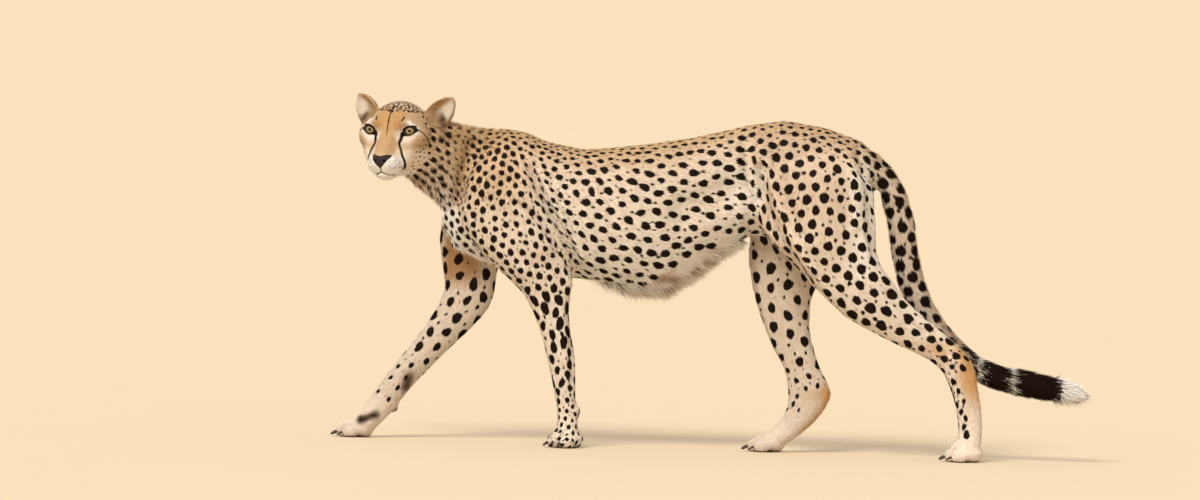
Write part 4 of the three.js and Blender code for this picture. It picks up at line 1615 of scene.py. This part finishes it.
def longHair():  # where each sort of long hair grows
    x, y, _ = skinCo.T
    u, v, w = folded(headPlaces)
    up = skinNormals[:, 2]
    middle = np.exp(-((y - bodyMiddle) / 0.04) ** 2)
    ruff = isOn("head", "neck") * ease(-50, -66, v) * ease(-112, -90, v)
    mane = isOn("head", "neck", "chest") * ease(0.3, 0.7, up)
    fringe = isOn("chest", "belly") * ease(-0.45, -0.85, up) * middle
    throat = isOn("neck", "head", "chest") * ease(-0.2, -0.7, up)
    inEar = isOn("ear") * ease(0.2, 0.6, np.maximum(earFacing(1), earFacing(-1)))
    return {
        "ruff": ruff * ease(24, 4, w) * (u > 30),
        "mane": mane * ease(-0.49, -0.55, x) * ease(-60, -90, v),
        "fringe": fringe * ease(-0.30, -0.16, x) * ease(0.1, 0.04, x),
        "throat": throat * ease(-80, -100, w) * ease(-0.40, -0.46, x),
        "ear": inEar * ease(88, 74, u) * ease(60, 20, w),
        "end": isOn("tail_4") * ease(90, 30, (tailTip - x) / mm),
        "pad": onHead * (u > 12) * (u < 27) * (w > -90) * (w < -72) * (v > 22),
    }


# Longer hair: the nodes it grows on, how many hairs, where, and how it differs from the coat there.
longPieces = {
    "long_hair_ruff": (("head", "neck"), 2200, "ruff", dict(longer=1.8, wider=1.1, lift=16, fall=0.25)),
    "long_hair_mane": (("head", "neck", "chest"), 1800, "mane",
                       dict(longer=2.0, wider=1.1, lift=14, fall=0.1)),
    "long_hair_fringe": (("chest", "belly"), 2200, "fringe",
                         dict(longer=2.6, wider=1.2, lift=12, fall=0.5)),
    "long_hair_throat": (("neck", "head", "chest"), 900, "throat",
                         dict(longer=1.6, wider=1.2, lift=10, fall=0.3)),
    "long_hair_ears": (("ear",), 1500, "ear", dict(longer=3.2, wider=0.9, lift=14, outward=1.5)),
    "whiskers": (("head",), 44, "pad",
                 dict(longer=4.0, wider=0.5, lift=18, fall=0.2, bends=3, outward=0.7)),
    "long_hair_tail": (("tail",), 900, "end", dict(longer=1.1, wider=1.3, lift=16, fall=0.1)),
}
total = 0
grows = furred()
for name, (starts, each) in coatPieces.items():
    count = int(min(areaOf(starts) / each, coatPlan["most"]))
    total += layCoat(name, starts, count, grows)
on = longHair()
for name, (starts, count, sort, changes) in longPieces.items():
    total += layCoat(name, starts, count, on[sort], **{"bends": 1, **changes})
print("faces of the coat:", total)


# ---------- eyes

# Where each ring of the iris blends into the next, as shares of the ball's radius.
irisLook = {"pupil": (0.215, 0.24), "inner": (0.24, 0.5), "outer": (0.53, 0.62)}


def eyePaint():
    paint = Paint("eye")
    across = paint.attribute("across")
    angle = paint.attribute("angle")
    sockets = {"W": angle, "Scale": 9.0, "Detail": 4.0}
    streak = paint.node("ShaderNodeTexNoise", {"noise_dimensions": "1D"}, sockets)
    amber = paint.mix(streak, rgba(linear(118, 94, 52)), rgba(linear(62, 44, 24)))
    iris = paint.mix(paint.between(across, *irisLook["inner"]), rgba(linear(168, 148, 98)), amber)
    iris = paint.mix(paint.between(across, *irisLook["outer"]), iris, rgba(linear(20, 12, 8)))
    whole = paint.mix(paint.between(across, *irisLook["pupil"]), rgba(linear(6, 5, 5)), iris)
    paint.set(Base_Color=whole, Roughness=0.25, Specular_IOR_Level=0.1)
    paint.set(Coat_Weight=0.6, Coat_Roughness=0.03)
    return paint.material


eyeMaterial = eyePaint()
for side, centre in eyeCentres.items():
    bm = bmesh.new()
    bmesh.ops.create_uvsphere(bm, u_segments=48, v_segments=32, radius=eyes["radius"])
    look, across, above = eyeFrame(side)
    look = unit(look - headRight * eyes["aside"])
    across = unit(across - look * (across @ look))
    turn = Matrix(np.array([across, above, look]).T.tolist())
    if turn.determinant() < 0:
        turn = Matrix(np.array([-across, above, look]).T.tolist())
    bmesh.ops.transform(bm, matrix=turn.to_4x4(), verts=bm.verts)
    bmesh.ops.translate(bm, vec=Vector(centre), verts=bm.verts)
    mesh = meshFrom(bm, "eyeball_" + side)
    arm = (coordinates(mesh) - centre) / eyes["radius"]
    x, y = arm @ across, arm @ above
    beyond = np.where(arm @ look < 0, 2.0, 0.0)
    storeNumbers(mesh, "across", np.hypot(x, y) + beyond)
    storeNumbers(mesh, "angle", np.arctan2(y, x))
    mesh.materials.append(eyeMaterial)
    mesh.shade_smooth()
    ball = addObject("eyeball_" + side, mesh)
    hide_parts("eye_" + side)
    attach(ball, "root")


# ---------- claws

def clawPaint():
    paint = Paint("claw")
    streaks = paint.noise(300, 4)
    horn = paint.mix(streaks, rgba(linear(38, 28, 22)), rgba(linear(84, 66, 50)))
    paint.set(Base_Color=horn, Roughness=0.45, Specular_IOR_Level=0.3)
    return paint.material


clawLook = {"swollen": 0.9, "rounding": 2}  # the rounding draws the swelling, in millimetres, in again
clawMaterial = clawPaint()
for name in sorted(nodes):
    if name.startswith("claw_"):
        bm = bmesh.new()
        bm.from_mesh(nodes[name].data)
        bmesh.ops.remove_doubles(bm, verts=bm.verts, dist=1e-6)
        bm.normal_update()
        for vertex in bm.verts:
            vertex.co += vertex.normal * clawLook["swollen"] * mm
        mesh = meshFrom(bm, "smooth_" + name)
        mesh.materials.append(clawMaterial)
        mesh.shade_smooth()
        claw = addObject("smooth_" + name, mesh)
        rounding = claw.modifiers.new("Subdivision", "SUBSURF")
        rounding.levels = clawLook["rounding"]
        rounding.render_levels = clawLook["rounding"]
        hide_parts(name)
        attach(claw, "root")


# ---------- floor, light and camera

stage = {
    "tone": linear(249, 229, 198) / 1.3,
    "size": 400.0,
    "sun": 2.45,
    "sunAngle": 26,  # degrees, so that its shadows are soft
    "sunFrom": (-0.3, -0.64, 0.7),
    "sunTone": (1.0, 0.96, 0.895),
    "sky": 0.8,
    "skyTone": linear(255, 246, 232),
}


def floorPaint():
    paint = Paint("floor")
    mottled = paint.mix(paint.noise(1.2, 3), rgba(stage["tone"], 0.97), rgba(stage["tone"], 1.0))
    paint.set(Base_Color=mottled, Roughness=0.9)
    return paint.material


bm = bmesh.new()
bmesh.ops.create_grid(bm, x_segments=8, y_segments=8, size=stage["size"] / 2)
mesh = meshFrom(bm, "floor")
mesh.materials.append(floorPaint())
floor = addObject("floor", mesh)

world = bpy.data.worlds.new("studio")
world.use_nodes = True
background = world.node_tree.nodes["Background"].inputs
background["Color"].default_value = rgba(stage["skyTone"])
background["Strength"].default_value = stage["sky"]
bpy.context.scene.world = world

sun = bpy.data.lights.new("sun", "SUN")
sun.energy = stage["sun"]
sun.angle = math.radians(stage["sunAngle"])
sun.color = stage["sunTone"]
sunObject = bpy.data.objects.new("sun", sun)
sunObject.rotation_euler = Vector(stage["sunFrom"]).to_track_quat("Z", "Y").to_euler()
bpy.context.scene.collection.objects.link(sunObject)

# The view spans this width at its aim, in metres. It is raised by above and turned by roll, in degrees.
shot = {"aim": (-0.2603, 0.0, 0.4555), "away": 20.0, "width": 2.76, "above": 2.2, "roll": 2.1}
camera = bpy.data.cameras.new("camera")
camera.sensor_width = 36
camera.lens = camera.sensor_width * shot["away"] / shot["width"]
camera.clip_end = 1000
above, roll = math.radians(shot["above"]), math.radians(shot["roll"])
back = Vector((0, -math.cos(above), math.sin(above)))
level = Vector((1, 0, 0))
upward = Vector((0, math.sin(above), math.cos(above)))
cameraObject = bpy.data.objects.new("camera", camera)
cameraObject.matrix_world = Matrix((
    level * math.cos(roll) + upward * math.sin(roll),
    upward * math.cos(roll) - level * math.sin(roll),
    back,
)).transposed().to_4x4()
cameraObject.location = Vector(shot["aim"]) + back * shot["away"]
bpy.context.scene.collection.objects.link(cameraObject)
bpy.context.scene.camera = cameraObject
bpy.context.scene.view_settings.view_transform = "Standard"

print("stage set")
